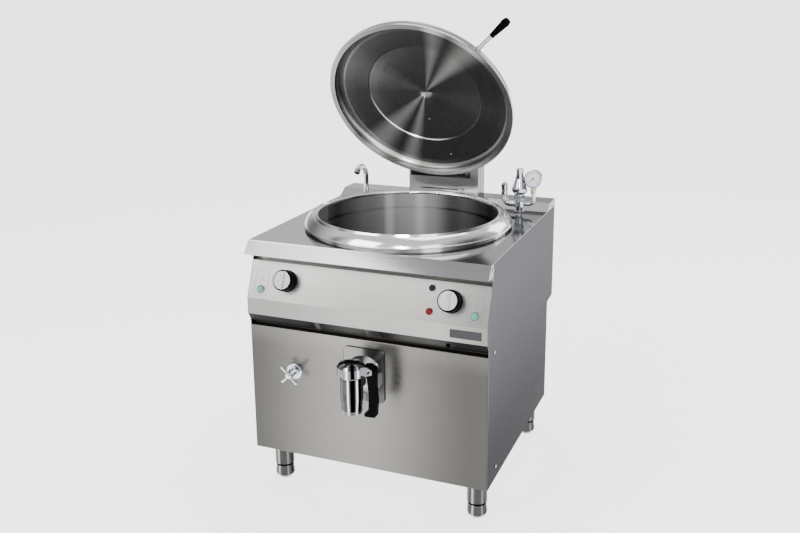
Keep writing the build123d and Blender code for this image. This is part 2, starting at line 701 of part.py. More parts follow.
TAP_SECTION = Plane(origin=(0, TAP_Y, 0), x_dir=(1, 0, 0), z_dir=(0, -1, 0))
TAP_AXIS = Axis((0, TAP_Y, 0), (0, 0, 1))
SEAT_Z = 412.0
TAP_BORE_R = 31.0
TAP_FOOT_Z = 375.0
TAP_FOOT_R = 30.0
OUTLET_R = 20.0
NECK_BASE_R = 63.0
NECK_R = 26.0
NECK_Y = FRONT_Y - 46.0
CAP_Z = 494.0
with BuildPart() as tap_body:
    with BuildSketch(at_y(FRONT_Y - 4)):
        with Locations((0, TAP_Z)):
            Circle(NECK_BASE_R)
    with BuildSketch(at_y(NECK_Y)):
        with Locations((0, TAP_Z)):
            Circle(NECK_R)
    loft()
    with BuildSketch(at_y(NECK_Y)):
        with Locations((0, TAP_Z)):
            Circle(NECK_R)
    extrude(amount=NECK_Y - TAP_Y)
    with BuildSketch(TAP_SECTION):
        with BuildLine():
            Polyline((0, TAP_FOOT_Z), (TAP_FOOT_R, TAP_FOOT_Z), (BARREL_R - 0.8, SEAT_Z + 4))
            Polyline((BARREL_R - 0.8, SEAT_Z + 4), (BARREL_R, SEAT_Z + 7), (BARREL_R, CAP_Z - 8))
            Polyline((BARREL_R, CAP_Z - 8), (BARREL_R - 1, CAP_Z - 7), (BARREL_R - 1, CAP_Z - 5))
            Polyline((BARREL_R - 1, CAP_Z - 5), (BARREL_R, CAP_Z - 4), (BARREL_R, CAP_Z))
            Polyline((BARREL_R, CAP_Z), (0, CAP_Z), (0, TAP_FOOT_Z))
        make_face()
    revolve(axis=TAP_AXIS)
    with BuildSketch(TAP_SECTION):
        with BuildLine():
            Polyline((0, TAP_FOOT_Z), (OUTLET_R + 4, TAP_FOOT_Z), (OUTLET_R + 4, TAP_FOOT_Z + 4))
            Polyline((OUTLET_R + 4, TAP_FOOT_Z + 4), (OUTLET_R, TAP_FOOT_Z + 8), (OUTLET_R, SEAT_Z))
            Polyline((OUTLET_R, SEAT_Z), (TAP_BORE_R, SEAT_Z), (TAP_BORE_R, CAP_Z + 1))
            Polyline((TAP_BORE_R, CAP_Z + 1), (0, CAP_Z + 1), (0, TAP_FOOT_Z))
        make_face()
    revolve(axis=TAP_AXIS, mode=Mode.SUBTRACT)
    with BuildSketch(at_y(FRONT_Y)):
        with Locations((0, TAP_Z)):
            Circle(PIPE_BORE_R)
    extrude(amount=FRONT_Y - TAP_Y, mode=Mode.SUBTRACT)
save(tap_body.part, "tap_body")

PLUNGER_STEM_R = 5.0
CAP_R = 44.0
CAP_TOP_Z = 535.0
with BuildPart() as tap_cap:
    with BuildSketch(TAP_SECTION):
        with BuildLine():
            Polyline((0, CAP_Z), (CAP_R - 4, CAP_Z), (CAP_R, CAP_Z + 5), (CAP_R, CAP_TOP_Z - 11))
            Polyline((CAP_R, CAP_TOP_Z - 11), (CAP_R - 6, CAP_TOP_Z - 4), (CAP_R - 20, CAP_TOP_Z))
            Polyline((CAP_R - 20, CAP_TOP_Z), (0, CAP_TOP_Z), (0, CAP_Z))
        make_face()
    revolve(axis=TAP_AXIS)
    with BuildSketch(at_y(TAP_Y + 20)):
        with BuildLine():
            Polyline((30, LEVER_Z - 14), (LEVER_X - 8, LEVER_Z - 14), (LEVER_X + 10, LEVER_Z - 7))
            Polyline((LEVER_X + 10, LEVER_Z - 7), (LEVER_X + 10, LEVER_Z + 7), (LEVER_X - 8, LEVER_Z + 14))
            Polyline((LEVER_X - 8, LEVER_Z + 14), (CAP_R, LEVER_Z + 12), (30, LEVER_Z + 2), (30, LEVER_Z - 14))
        make_face()
    extrude(amount=40)
    with BuildSketch(at_y(TAP_Y + 14)):
        with Locations((LEVER_X - 2, LEVER_Z)):
            Rectangle(36, 60)
    extrude(amount=28, mode=Mode.SUBTRACT)
    with BuildSketch(Plane.XY.offset(CAP_Z)):
        with Locations((0, TAP_Y)):
            Circle(PLUNGER_STEM_R + RUNNING)
    extrude(amount=34, mode=Mode.SUBTRACT)
    with BuildSketch(at_y(TAP_Y + 30)):
        with Locations((LEVER_X, LEVER_Z)):
            Circle(4 + RUNNING)
    extrude(amount=60, mode=Mode.SUBTRACT)
save(tap_cap.part, "tap_cap")

with BuildPart() as tap_plunger:
    with BuildSketch(Plane.XY.offset(SEAT_Z)):
        with Locations((0, TAP_Y)):
            Circle(23.5)
    extrude(amount=10)
    with BuildSketch(Plane.XY.offset(SEAT_Z + 10)):
        with Locations((0, TAP_Y)):
            Circle(PLUNGER_STEM_R)
    extrude(amount=93)
save(tap_plunger.part, "tap_plunger")

with BuildPart() as tap_lever:
    with BuildSketch(at_y(TAP_Y + 13)):
        with BuildLine():
            Polyline(
                (53, 532),
                (76, 532),
                (81, 520),
                (80, 470),
                (84, 420),
                (80, 372),
                (46, 370),
                (44, 381),
                (58, 390),
                (60, 440),
                (54, 505),
                close=True,
            )
        make_face()
    extrude(amount=26)
    fillet(tap_lever.edges().filter_by(Axis.Y), radius=4)
    fillet(tap_lever.edges().group_by(Axis.Y)[0], radius=3)
    with BuildSketch(at_y(TAP_Y + 25)):
        with Locations((LEVER_X, LEVER_Z)):
            Circle(4)
    extrude(amount=50)
save(tap_lever.part, "tap_lever")

# ---- level tap on the front ------------------------------------------------------------------------------
with BuildPart() as level_tap_body:
    with BuildSketch(at_y(FRONT_Y)):
        with Locations((LEVEL_X, LEVEL_Z)):
            Circle(27)
    extrude(amount=7)
    fillet(level_tap_body.edges().group_by(Axis.Y)[0], radius=3)
    with BuildSketch(at_y(FRONT_Y + 3)):
        with Locations((LEVEL_X, LEVEL_Z)):
            Circle(11)
    extrude(amount=22)
    with BuildSketch(at_y(FRONT_Y - 17)):
        with Locations((LEVEL_X, LEVEL_Z)):
            RegularPolygon(14, 6)
    extrude(amount=14)
    with BuildSketch(at_y(FRONT_Y - 8)):
        with Locations((LEVEL_X, LEVEL_Z)):
            Circle(5 + RUNNING)
    extrude(amount=40, mode=Mode.SUBTRACT)
save(level_tap_body.part, "level_tap_body")

HANDLE_Y = FRONT_Y - 40.0
with BuildPart() as level_handle:
    with BuildSketch(at_y(HANDLE_Y + 8)):
        with Locations((LEVEL_X, LEVEL_Z)):
            Circle(11)
    extrude(amount=16)
    fillet(level_handle.edges().group_by(Axis.Y)[0], radius=4)
    with BuildSketch(at_y(FRONT_Y - 11)):
        with Locations((LEVEL_X, LEVEL_Z)):
            Circle(5)
    extrude(amount=30)
    for quarter in range(4):
        a = radians(45 + 90 * quarter)
        arm = Plane(origin=(LEVEL_X, HANDLE_Y, LEVEL_Z), z_dir=(cos(a), 0, sin(a)))
        with BuildSketch(arm.offset(6)):
            Circle(3.8)
        with BuildSketch(arm.offset(31)):
            Circle(4.8)
        loft()
        with Locations((LEVEL_X + 33 * cos(a), HANDLE_Y, LEVEL_Z + 33 * sin(a))):
            Sphere(5.6)
save(level_handle.part, "level_handle")

# ---- filling spout -----------------------------------------------------------------------------------------
with BuildPart() as spout_socket:
    with BuildSketch(Plane.XY.offset(DECK_Z)):
        with Locations((SPOUT_X, SPOUT_Y)):
            Circle(21)
    extrude(amount=5)
    fillet(spout_socket.edges().group_by(Axis.Z)[-1], radius=2)
    with BuildSketch(Plane.XY.offset(DECK_Z + 5)):
        with Locations((SPOUT_X, SPOUT_Y)):
            RegularPolygon(16, 6)
    extrude(amount=14)
    with BuildSketch(Plane.XY.offset(DECK_Z - 40)):
        with Locations((SPOUT_X, SPOUT_Y)):
            Circle(13.5)
    extrude(amount=40)
    with BuildSketch(Plane.XY.offset(DECK_Z - 24)):
        with Locations((SPOUT_X, SPOUT_Y)):
            Circle(SPOUT_R + RUNNING)
    extrude(amount=60, mode=Mode.SUBTRACT)
save(spout_socket.part, "spout_socket")

SPOUT_SWEEP = 140.0
spout_end_y = SPOUT_Y - SPOUT_BEND_R * (1 - cos(radians(SPOUT_SWEEP)))
spout_end_z = SPOUT_TOP_Z + SPOUT_BEND_R * sin(radians(SPOUT_SWEEP))
spout_dir = (0, -sin(radians(SPOUT_SWEEP)), cos(radians(SPOUT_SWEEP)))
with BuildPart() as spout:
    with BuildLine() as spout_route:
        Line((SPOUT_X, SPOUT_Y, DECK_Z - 22), (SPOUT_X, SPOUT_Y, SPOUT_TOP_Z))
        ThreePointArc(
            (SPOUT_X, SPOUT_Y, SPOUT_TOP_Z),
            (
                SPOUT_X,
                SPOUT_Y - SPOUT_BEND_R * (1 - cos(radians(SPOUT_SWEEP / 2))),
                SPOUT_TOP_Z + SPOUT_BEND_R * sin(radians(SPOUT_SWEEP / 2)),
            ),
            (SPOUT_X, spout_end_y, spout_end_z),
        )
    with BuildSketch(Plane.XY.offset(DECK_Z - 22)):
        with Locations((SPOUT_X, SPOUT_Y)):
            Circle(SPOUT_R)
            Circle(SPOUT_R - 1.5, mode=Mode.SUBTRACT)
    sweep(path=spout_route.line)
    with BuildSketch(Plane(origin=(SPOUT_X, spout_end_y, spout_end_z), z_dir=spout_dir).offset(-10)):
        Circle(SPOUT_R + 1.5)
        Circle(SPOUT_R - 1.5, mode=Mode.SUBTRACT)
    extrude(amount=12)
save(spout.part, "spout")

# ---- safety group -------------------------------------------------------------------------------------------
SAFETY_SECTION = Plane(origin=(SAFETY_X, SAFETY_Y, 0), x_dir=(1, 0, 0), z_dir=(0, -1, 0))
SAFETY_AXIS = Axis((SAFETY_X, SAFETY_Y, 0), (0, 0, 1))
VALVE_Z = 890.0
with BuildPart() as safety_manifold:
    with BuildSketch(SAFETY_SECTION):
        with BuildLine():
            Polyline(
                (0, DECK_Z),
                (19, DECK_Z),
                (19, DECK_Z + 3),
                (11, DECK_Z + 6),
                (11, MANIFOLD_Z - 13),
                (17, MANIFOLD_Z - 9),
                (17, VALVE_Z),
                (0, VALVE_Z),
                close=True,
            )
        make_face()
    revolve(axis=SAFETY_AXIS)
    for end_x, end_z, tube_z, tube_r, bend in (
        (VACUUM_X, 908.0, MANIFOLD_Z - 1, 10.5, 22.0),
        (GAUGE_X, 926.0, MANIFOLD_Z + 2, 8.0, 18.0),
    ):
        with BuildLine() as arm_route:
            FilletPolyline(
                (SAFETY_X, SAFETY_Y, tube_z),
                (end_x, SAFETY_Y, tube_z),
                (end_x, SAFETY_Y, end_z),
                radius=bend,
            )
        toward = 1 if end_x > SAFETY_X else -1
        with BuildSketch(Plane(origin=(SAFETY_X, SAFETY_Y, tube_z), z_dir=(toward, 0, 0))):
            Circle(tube_r)
        sweep(path=arm_route.line)
save(safety_manifold.part, "safety_manifold")

with BuildPart() as safety_valve_body:
    with BuildSketch(SAFETY_SECTION):
        with BuildLine():
            Polyline(
                (0, VALVE_Z),
                (13, VALVE_Z),
                (17, 896),
                (17, 914),
                (24, 922),
                (28.5, 926),
                (28.5, 936),
                (25, 940),
                (15, 970),
                (15, 976),
                (0, 976),
                close=True,
            )
        make_face()
    revolve(axis=SAFETY_AXIS)
    with BuildSketch(Plane.XY.offset(898)):
        with Locations((SAFETY_X, SAFETY_Y)):
            RegularPolygon(20, 6)
    extrude(amount=13)
    with BuildSketch(Plane.XY.offset(940)):
        with Locations((SAFETY_X, SAFETY_Y)):
            Circle(4 + RUNNING)
    extrude(amount=60, mode=Mode.SUBTRACT)
save(safety_valve_body.part, "safety_valve_body")

with BuildPart() as safety_valve_cap:
    with BuildSketch(Plane.XY.offset(976.2)):
        with Locations((SAFETY_X, SAFETY_Y)):
            Circle(13)
    extrude(amount=30)
    chamfer(safety_valve_cap.edges().group_by(Axis.Z)[-1], length=2.5)
    with BuildSketch(Plane.XY.offset(988)):
        with Locations((SAFETY_X, SAFETY_Y)):
            Circle(14)
            Circle(11.5, mode=Mode.SUBTRACT)
    extrude(amount=3, mode=Mode.SUBTRACT)
    with BuildSketch(Plane.XY.offset(945)):
        with Locations((SAFETY_X, SAFETY_Y)):
            Circle(4)
    extrude(amount=32)
save(safety_valve_cap.part, "safety_valve_cap")

VACUUM_SECTION = Plane(origin=(VACUUM_X, SAFETY_Y, 0), x_dir=(1, 0, 0), z_dir=(0, -1, 0))
with BuildPart() as vacuum_valve:
    with BuildSketch(VACUUM_SECTION):
        with BuildLine():
            Polyline(
                (0, 908),
                (9, 908),
                (12, 912),
                (12, 922),
                (10.5, 924),
                (10.5, 928),
                (12, 930),
                (12, 946),
                (9, 950),
                (4, 951),
                (0, 958),
                close=True,
            )
        make_face()
    revolve(axis=Axis((VACUUM_X, SAFETY_Y, 0), (0, 0, 1)))
save(vacuum_valve.part, "vacuum_valve")

# ---- pressure gauge --------------------------------------------------------------------------------------------
GAUGE_FRONT = SAFETY_Y - 16.0
with BuildPart() as gauge_case:
    with BuildSketch(at_y(GAUGE_FRONT + 30)):
        with Locations((GAUGE_X, GAUGE_Z)):
            Circle(GAUGE_R - 2)
    extrude(amount=24)
    with BuildSketch(at_y(GAUGE_FRONT + 8)):
        with Locations((GAUGE_X, GAUGE_Z)):
            Circle(GAUGE_R)
    extrude(amount=8)
    fillet(gauge_case.edges().group_by(Axis.Y)[0], radius=2)
    fillet(gauge_case.edges().group_by(Axis.Y)[-1], radius=4)
    with BuildSketch(at_y(GAUGE_FRONT + 7)):
        with Locations((GAUGE_X, GAUGE_Z)):
            Circle(GAUGE_R - 3.5)
    extrude(amount=10, mode=Mode.SUBTRACT)
    with BuildSketch(Plane.XY.offset(926)):
        with Locations((GAUGE_X, SAFETY_Y)):
            RegularPolygon(9.5, 6)
    extrude(amount=12)
    with BuildSketch(Plane.XY.offset(938)):
        with Locations((GAUGE_X, SAFETY_Y)):
            Circle(6)
    extrude(amount=12)
save(gauge_case.part, "gauge_case")

with BuildPart() as gauge_dial:
    with BuildSketch(at_y(GAUGE_FRONT + 7)):
        with Locations((GAUGE_X, GAUGE_Z)):
            Circle(GAUGE_R - 3.5)
    extrude(amount=1)
save(gauge_dial.part, "gauge_dial")

with BuildPart() as gauge_glass:
    with BuildSketch(at_y(GAUGE_FRONT + 2.5)):
        with Locations((GAUGE_X, GAUGE_Z)):
            Circle(GAUGE_R - 3.5)
    extrude(amount=1.5)
save(gauge_glass.part, "gauge_glass")

NEEDLE = Plane(origin=(GAUGE_X, GAUGE_FRONT + 5.4, GAUGE_Z), x_dir=(-0.766, 0, -0.643), z_dir=(0, -1, 0))
with BuildPart() as gauge_needle:
    with BuildSketch(NEEDLE):
        with BuildLine():
            Polyline((-9, 1.6), (-9, -1.6), (22, -0.5), (22, 0.5), close=True)
        make_face()
        Circle(3)
    extrude(amount=1)
save(gauge_needle.part, "gauge_needle")

# ---- controls on the fascia ---------------------------------------------------------------------------------------
KNOB_R = 35.0
for side, knob_x in (("left", LEFT_KNOB_X), ("right", RIGHT_KNOB_X)):
    with BuildPart() as knob:
        with BuildSketch(FASCIA.offset(0.6)):
            with Locations((knob_x, KNOB_H)):
                Circle(KNOB_R)
        extrude(amount=9)
        with BuildSketch(FASCIA.offset(9.6)):
            with Locations((knob_x, KNOB_H)):
                Circle(KNOB_R - 1)
        extrude(amount=24, taper=3)
        with BuildSketch(FASCIA.offset(-16)):
            with Locations((knob_x, KNOB_H)):
                Circle(3)
        extrude(amount=18)
    save(knob.part, side + "_knob")
    with BuildPart() as cap:
        with BuildSketch(FASCIA.offset(33.6)):
            with Locations((knob_x, KNOB_H)):
                Circle(28.5)
        extrude(amount=3)
        with BuildSketch(FASCIA.offset(36.6)):
            with Locations((knob_x, KNOB_H)):
                SlotOverall(54, 13, rotation=90)
        extrude(amount=5, taper=12)
        with BuildSketch(FASCIA.offset(36.6)):
            with Locations((knob_x, KNOB_H)):
                Circle(28.5)
                Circle(26, mode=Mode.SUBTRACT)
        extrude(amount=1.2)
    save(cap.part, side + "_knob_cap")
    button_x = -BUTTON_X if side == "left" else BUTTON_X
    with BuildPart() as button:
        with BuildSketch(FASCIA.offset(-12)):
            with Locations((button_x, BUTTON_H)):
                Circle(10)
        extrude(amount=20)
        fillet(button.edges().filter_by(GeomType.CIRCLE).sort_by(Axis.Y)[0], radius=1.5)
    save(button.part, side + "_button")

with BuildPart() as indicator_bezels:
    for x, h, outer, bore in (
        (-BUTTON_X, BUTTON_H, 14.5, 10.3),
        (BUTTON_X, BUTTON_H, 14.5, 10.3),
        (LAMP_X, LAMP_HIGH, 12, 9.5),
        (LAMP_X, LAMP_LOW, 12, 9.5),
    ):
        with BuildSketch(FASCIA):
            with Locations((x, h)):
                Circle(outer)
                Circle(bore, mode=Mode.SUBTRACT)
        extrude(amount=4, taper=15)
        with BuildSketch(FASCIA):
            with Locations((x, h)):
                Circle(bore + 0.9)
                Circle(bore, mode=Mode.SUBTRACT)
        extrude(amount=-8)
save(indicator_bezels.part, "indicator_bezels")

for lamp_name, lamp_h in (("lamp_green", LAMP_HIGH), ("lamp_red", LAMP_LOW)):
    with BuildPart() as lamp:
        with BuildSketch(FASCIA.offset(-8)):
            with Locations((LAMP_X, lamp_h)):
                Circle(9.5)
        extrude(amount=15)
        fillet(lamp.edges().filter_by(GeomType.CIRCLE).sort_by(Axis.Y)[0], radius=2.5)
    save(lamp.part, lamp_name)

with BuildPart() as electrical_units:
    for x in (LEFT_KNOB_X, RIGHT_KNOB_X):
        with BuildSketch(FASCIA.offset(-SHEET)):
            with Locations((x, KNOB_H)):
                Rectangle(44, 44)
                Circle(3 + RUNNING, mode=Mode.SUBTRACT)
        extrude(amount=-34)
    with BuildSketch(Plane.XY.offset(FRAME_Z + TUBE + SHEET)):
        with Locations((300, 300)):
            Rectangle(90, 60)
    extrude(amount=45)
    with BuildSketch(RETURN):
        with Locations((PLUG_X, PLUG_H)):
            Circle(PLUG_R)
    extrude(amount=5)
    with BuildSketch(RETURN):
        with Locations((PLUG_X, PLUG_H)):
            Circle(PLUG_HOLE_R)
    extrude(amount=-8)
save(electrical_units.part, "electrical_units")

# ---- hinge: housing, bearing blocks, balance springs --------------------------------------------------------------
with BuildPart() as hinge_housing:
    with BuildSketch(Plane.XY.offset(UPSTAND_Z)):
        with Locations((0, (HOUSING_FRONT_Y + HOUSING_BACK_Y) / 2)):
            Rectangle(2 * HOUSING_X, HOUSING_BACK_Y - HOUSING_FRONT_Y)
            Rectangle(2 * HOUSING_X - 4, HOUSING_BACK_Y - HOUSING_FRONT_Y - 4, mode=Mode.SUBTRACT)
    extrude(amount=HOUSING_TOP_Z - UPSTAND_Z)
    with BuildSketch(Plane.XY.offset(HOUSING_TOP_Z - 2)):
        with Locations((0, (HOUSING_FRONT_Y + HOUSING_BACK_Y) / 2)):
            Rectangle(2 * HOUSING_X, HOUSING_BACK_Y - HOUSING_FRONT_Y)
    extrude(amount=2)
    with BuildSketch(at_y(HINGE_Y + 24)):
        with Locations((-12, (HOUSING_SILL_Z + HOUSING_TOP_Z) / 2 + 1)):
            Rectangle(232, HOUSING_TOP_Z - HOUSING_SILL_Z + 2)
    extrude(amount=60, mode=Mode.SUBTRACT)
    with BuildSketch(at_y(HINGE_Y)):
        with Locations((-12, 896)):
            SlotOverall(146, 5)
    extrude(amount=30, mode=Mode.SUBTRACT)
save(hinge_housing.part, "hinge_housing")

with BuildPart() as hinge_blocks:
    for x in (-BLOCK_X, BLOCK_X):
        with BuildSketch(Plane.YZ.offset(x - 7)):
            with BuildLine():
                Line((HINGE_Y, HINGE_Z - 15), (HOUSING_BACK_Y - 2, HINGE_Z - 15))
                Line((HOUSING_BACK_Y - 2, HINGE_Z - 15), (HOUSING_BACK_Y - 2, HINGE_Z + 15))
                Line((HOUSING_BACK_Y - 2, HINGE_Z + 15), (HINGE_Y, HINGE_Z + 15))
                ThreePointArc((HINGE_Y, HINGE_Z + 15), (HINGE_Y - 15, HINGE_Z), (HINGE_Y, HINGE_Z - 15))
            make_face()
            with Locations((HINGE_Y, HINGE_Z)):
                Circle(SHAFT_R + RUNNING, mode=Mode.SUBTRACT)
        extrude(amount=14)
save(hinge_blocks.part, "hinge_blocks")

SPRING_R = 13.0
SPRING_WIRE_R = 2.0
with BuildPart() as balance_springs:
    for x in (64.0, -84.0):
        coil = Helix(pitch=5.0, height=20.0, radius=SPRING_R, center=(x, HINGE_Y, HINGE_Z), direction=(1, 0, 0))
        with BuildSketch(Plane(origin=coil @ 0, z_dir=coil % 0)):
            Circle(SPRING_WIRE_R)
        sweep(path=coil, is_frenet=True)
save(balance_springs.part, "balance_springs")

# ---- lid: inner dish and outer shell ---------------------------------------------------------------------------------
with BuildPart() as lid_dish:
    with BuildSketch(LID_SECTION):
        with BuildLine():
            Line((LID_R - LID_T, 0), (LID_LIP_R, 0))
            ThreePointArc((LID_LIP_R, 0), (LID_LIP_R - 6, 20), (DISH_EDGE_R, DISH_EDGE_H))
            Polyline((DISH_EDGE_R, DISH_EDGE_H), (EMBOSS_R + 3, EMBOSS_H - 4), (EMBOSS_R, EMBOSS_H))
            Line((EMBOSS_R, EMBOSS_H), (0, DISH_CENTRE_H))
            Line((0, DISH_CENTRE_H), (0, DISH_CENTRE_H + LID_T))
            Line((0, DISH_CENTRE_H + LID_T), (EMBOSS_R, EMBOSS_H + LID_T))
            Polyline(
                (EMBOSS_R, EMBOSS_H + LID_T),
                (EMBOSS_R + 3, EMBOSS_H - 4 + LID_T),
                (DISH_EDGE_R, DISH_EDGE_H + LID_T),
            )
            ThreePointArc((DISH_EDGE_R, DISH_EDGE_H + LID_T), (LID_LIP_R - 4, 22), (LID_LIP_R + LID_T, LID_T))
            Polyline((LID_LIP_R + LID_T, LID_T), (LID_R - LID_T, LID_T), (LID_R - LID_T, 0))
        make_face()
    revolve(axis=LID_AXIS)
save(lid_dish.part, "lid_dish")

shoulder_r, shoulder_h = LID_SKIRT_R - 10, LID_SKIRT_H + 5
dome_rise = LID_CROWN_H - shoulder_h
dome_r = (shoulder_r**2 + dome_rise**2) / (2 * dome_rise)
dome_mid_h = LID_CROWN_H - dome_r + (dome_r**2 - shoulder_r**2 / 4) ** 0.5
with BuildPart() as lid_hull:
    with BuildSketch(LID_SECTION):
        with BuildLine():
            Polyline((0, 0), (LID_R, 0), (LID_R, 5), (LID_SKIRT_R + 1, LID_SKIRT_H - 8))
            ThreePointArc(
                (LID_SKIRT_R + 1, LID_SKIRT_H - 8), (LID_SKIRT_R - 2, LID_SKIRT_H), (shoulder_r, shoulder_h)
            )
            ThreePointArc((shoulder_r, shoulder_h), (shoulder_r / 2, dome_mid_h), (0, LID_CROWN_H))
            Line((0, LID_CROWN_H), (0, 0))
        make_face()
    revolve(axis=LID_AXIS)

with BuildPart() as lid_shell:
    add(lid_hull.part)
    with BuildSketch(LID_SECTION):
        with BuildLine():
            Polyline((0, 0), (LID_R - LID_T, 0), (LID_R - LID_T, 5))
            Line((LID_R - LID_T, 5), (LID_SKIRT_R + 1 - LID_T, LID_SKIRT_H - 8))
            ThreePointArc(
                (LID_SKIRT_R + 1 - LID_T, LID_SKIRT_H - 8),
                (LID_SKIRT_R - 2 - LID_T, LID_SKIRT_H - LID_T / 2),
                (shoulder_r, shoulder_h - LID_T),
            )
            ThreePointArc(
                (shoulder_r, shoulder_h - LID_T), (shoulder_r / 2, dome_mid_h - LID_T), (0, LID_CROWN_H - LID_T)
            )
            Line((0, LID_CROWN_H - LID_T), (0, 0))
        make_face()
    revolve(axis=LID_AXIS, mode=Mode.SUBTRACT)
save(lid_shell.part, "lid_shell")

# ---- lid arms on the shaft -----------------------------------------------------------------------------------------------
hinge_u = (HINGE_Y - lid_y) * LID_FRONT[1] + (HINGE_Z - lid_z) * LID_FRONT[2]
hinge_h = (HINGE_Y - lid_y) * LID_UP[1] + (HINGE_Z - lid_z) * LID_UP[2]
with BuildPart() as lid_arms:
    for x in (-ARM_X, ARM_X):
        with BuildSketch(LID_SIDE.offset(x - 5)):
            with Locations((hinge_u, hinge_h)):
                Circle(15)
            with BuildLine():
                Polyline(
                    (hinge_u + 4, hinge_h + 14.4),
                    (hinge_u + 80, hinge_h + 24),
                    (hinge_u + 190, hinge_h + 22),
                    (hinge_u + 190, hinge_h - 40),
                    (hinge_u + 50, hinge_h - 40),
                    (hinge_u + 50, hinge_h - 12),
                    (hinge_u, hinge_h - 15),
                    close=True,
                )
            make_face()
        extrude(amount=10)
    with BuildSketch(LID_FLAT.offset(hinge_h - 6)):
        with Locations((0, -hinge_u - 135)):
            Rectangle(2 * ARM_X, 90)
    extrude(amount=12)
    add(lid_hull.part, mode=Mode.SUBTRACT)
    with BuildSketch(Plane.YZ.offset(-ARM_X - 10)):
        with Locations((HINGE_Y, HINGE_Z)):
            Circle(SHAFT_R)
    extrude(amount=2 * ARM_X + 20, mode=Mode.SUBTRACT)
save(lid_arms.part, "lid_arms")

with BuildPart() as hinge_shaft:
    with BuildSketch(Plane.YZ.offset(-BLOCK_X - 14)):
        with Locations((HINGE_Y, HINGE_Z)):
            Circle(SHAFT_R)
    extrude(amount=2 * (BLOCK_X + 14))
    chamfer(hinge_shaft.edges().filter_by(GeomType.CIRCLE), length=1)
save(hinge_shaft.part, "hinge_shaft")

# ---- lid handle: a radial rod with a tapered grip --------------------------------------------------------------------------
HANDLE_ANGLE = radians(43)
HANDLE_RISE = radians(5)
radial = Vector(cos(HANDLE_ANGLE), sin(HANDLE_ANGLE) * LID_FRONT[1], sin(HANDLE_ANGLE) * LID_FRONT[2])
rod_dir = radial * cos(HANDLE_RISE) + Vector(*LID_UP) * sin(HANDLE_RISE)
rod_start = Vector(0, lid_y, lid_z) + radial * (LID_R - 6) + Vector(*LID_UP) * 16
ROD = Plane(origin=rod_start, z_dir=rod_dir)
ROD_R = 7.0
ROD_LENGTH = 106.0
with BuildPart() as handle_rod:
    with BuildSketch(ROD.offset(-10)):
        Circle(ROD_R)
    extrude(amount=ROD_LENGTH + 10)
    with BuildSketch(ROD.offset(-8)):
        Circle(11)
    extrude(amount=16)
    add(lid_hull.part, mode=Mode.SUBTRACT)
save(handle_rod.part, "handle_rod")

with BuildPart() as handle_grip:
    with BuildSketch(ROD.offset(ROD_LENGTH - 30)):
        Circle(8.5)
    with BuildSketch(ROD.offset(ROD_LENGTH + 36)):
        Circle(13.5)
    loft()
    with BuildSketch(ROD.offset(ROD_LENGTH + 36)):
        Circle(13.5)
    with BuildSketch(ROD.offset(ROD_LENGTH + 46)):
        Circle(11)
    loft()
    with BuildSketch(ROD.offset(ROD_LENGTH - 40)):
        Circle(ROD_R)
    extrude(amount=40, mode=Mode.SUBTRACT)
save(handle_grip.part, "handle_grip")

# ---- screws in the side panels and in the hinge housing ----------------------------------------------------------------------
with BuildPart() as panel_screws:
    for x in (-1, 1):
        for y, z in ((FRONT_Y + 26, 832), (FRONT_Y + 54, 569), (FRONT_Y + 86, 179)):
            with BuildSketch(Plane.YZ.offset(x * HALF)):
                with Locations((y, z)):
                    Circle(4.5)
            extrude(amount=x * 2)
    with BuildSketch(at_y(HOUSING_FRONT_Y)):
        with Locations((72, 896)):
            RegularPolygon(8, 6)
    extrude(amount=5)
save(panel_screws.part, "panel_screws")
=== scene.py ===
"""Looks of the steam jacketed kettle: finishes, small detail pieces, light and camera."""

import logging
import math
from dataclasses import dataclass, field
from enum import Enum
from typing import Callable, Iterable, Optional, Sequence, Union

import bmesh
import bpy
from mathutils import Matrix, Vector


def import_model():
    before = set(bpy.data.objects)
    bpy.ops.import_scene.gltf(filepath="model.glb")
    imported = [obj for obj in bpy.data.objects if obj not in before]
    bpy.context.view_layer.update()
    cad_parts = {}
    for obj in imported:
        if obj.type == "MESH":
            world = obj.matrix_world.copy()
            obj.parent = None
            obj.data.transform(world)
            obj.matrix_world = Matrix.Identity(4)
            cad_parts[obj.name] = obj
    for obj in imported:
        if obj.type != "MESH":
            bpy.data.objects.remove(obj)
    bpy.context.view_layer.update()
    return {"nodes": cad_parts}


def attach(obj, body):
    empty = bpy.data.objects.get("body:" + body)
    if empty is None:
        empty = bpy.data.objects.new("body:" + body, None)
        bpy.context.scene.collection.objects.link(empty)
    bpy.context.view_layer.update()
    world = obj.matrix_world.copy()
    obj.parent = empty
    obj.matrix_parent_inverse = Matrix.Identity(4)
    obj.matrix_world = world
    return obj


log = logging.getLogger("kettle")

Mesh = bmesh.types.BMesh
Vec3 = tuple[float, float, float]
Point = tuple[float, float]
Value = Union["Sock", float, Sequence[float]]

LID_OPEN = math.radians(58)
LID_UP = Vector((0, math.sin(LID_OPEN), math.cos(LID_OPEN)))
LID_FRONT = Vector((0, -math.cos(LID_OPEN), math.sin(LID_OPEN)))
LID_CENTRE = Vector((0, 0.14996, 1.23537))
KETTLE_CENTRE = Vector((0, 0.04, 0))
TAP_CENTRE = Vector((0, -0.428, 0))
LEG_CENTRE = Vector((0, 0.051, 0))
LEG_X = 0.343
LEG_Y = 0.302
SAFETY_Y = 0.321
DECK_Z = 0.85
PLATE_HALF = 0.07
PLATE_TOP = 0.546
SUNK = 0.0002
FASCIA_CENTRE = Vector((0, -0.325, 0.722))
FASCIA_UP = Vector((0, 0.37418, 0.927365))
X_AXIS = Vector((1, 0, 0))
Y_AXIS = Vector((0, 1, 0))
Z_AXIS = Vector((0, 0, 1))
EVEN = (1.0, 1.0, 1.0)


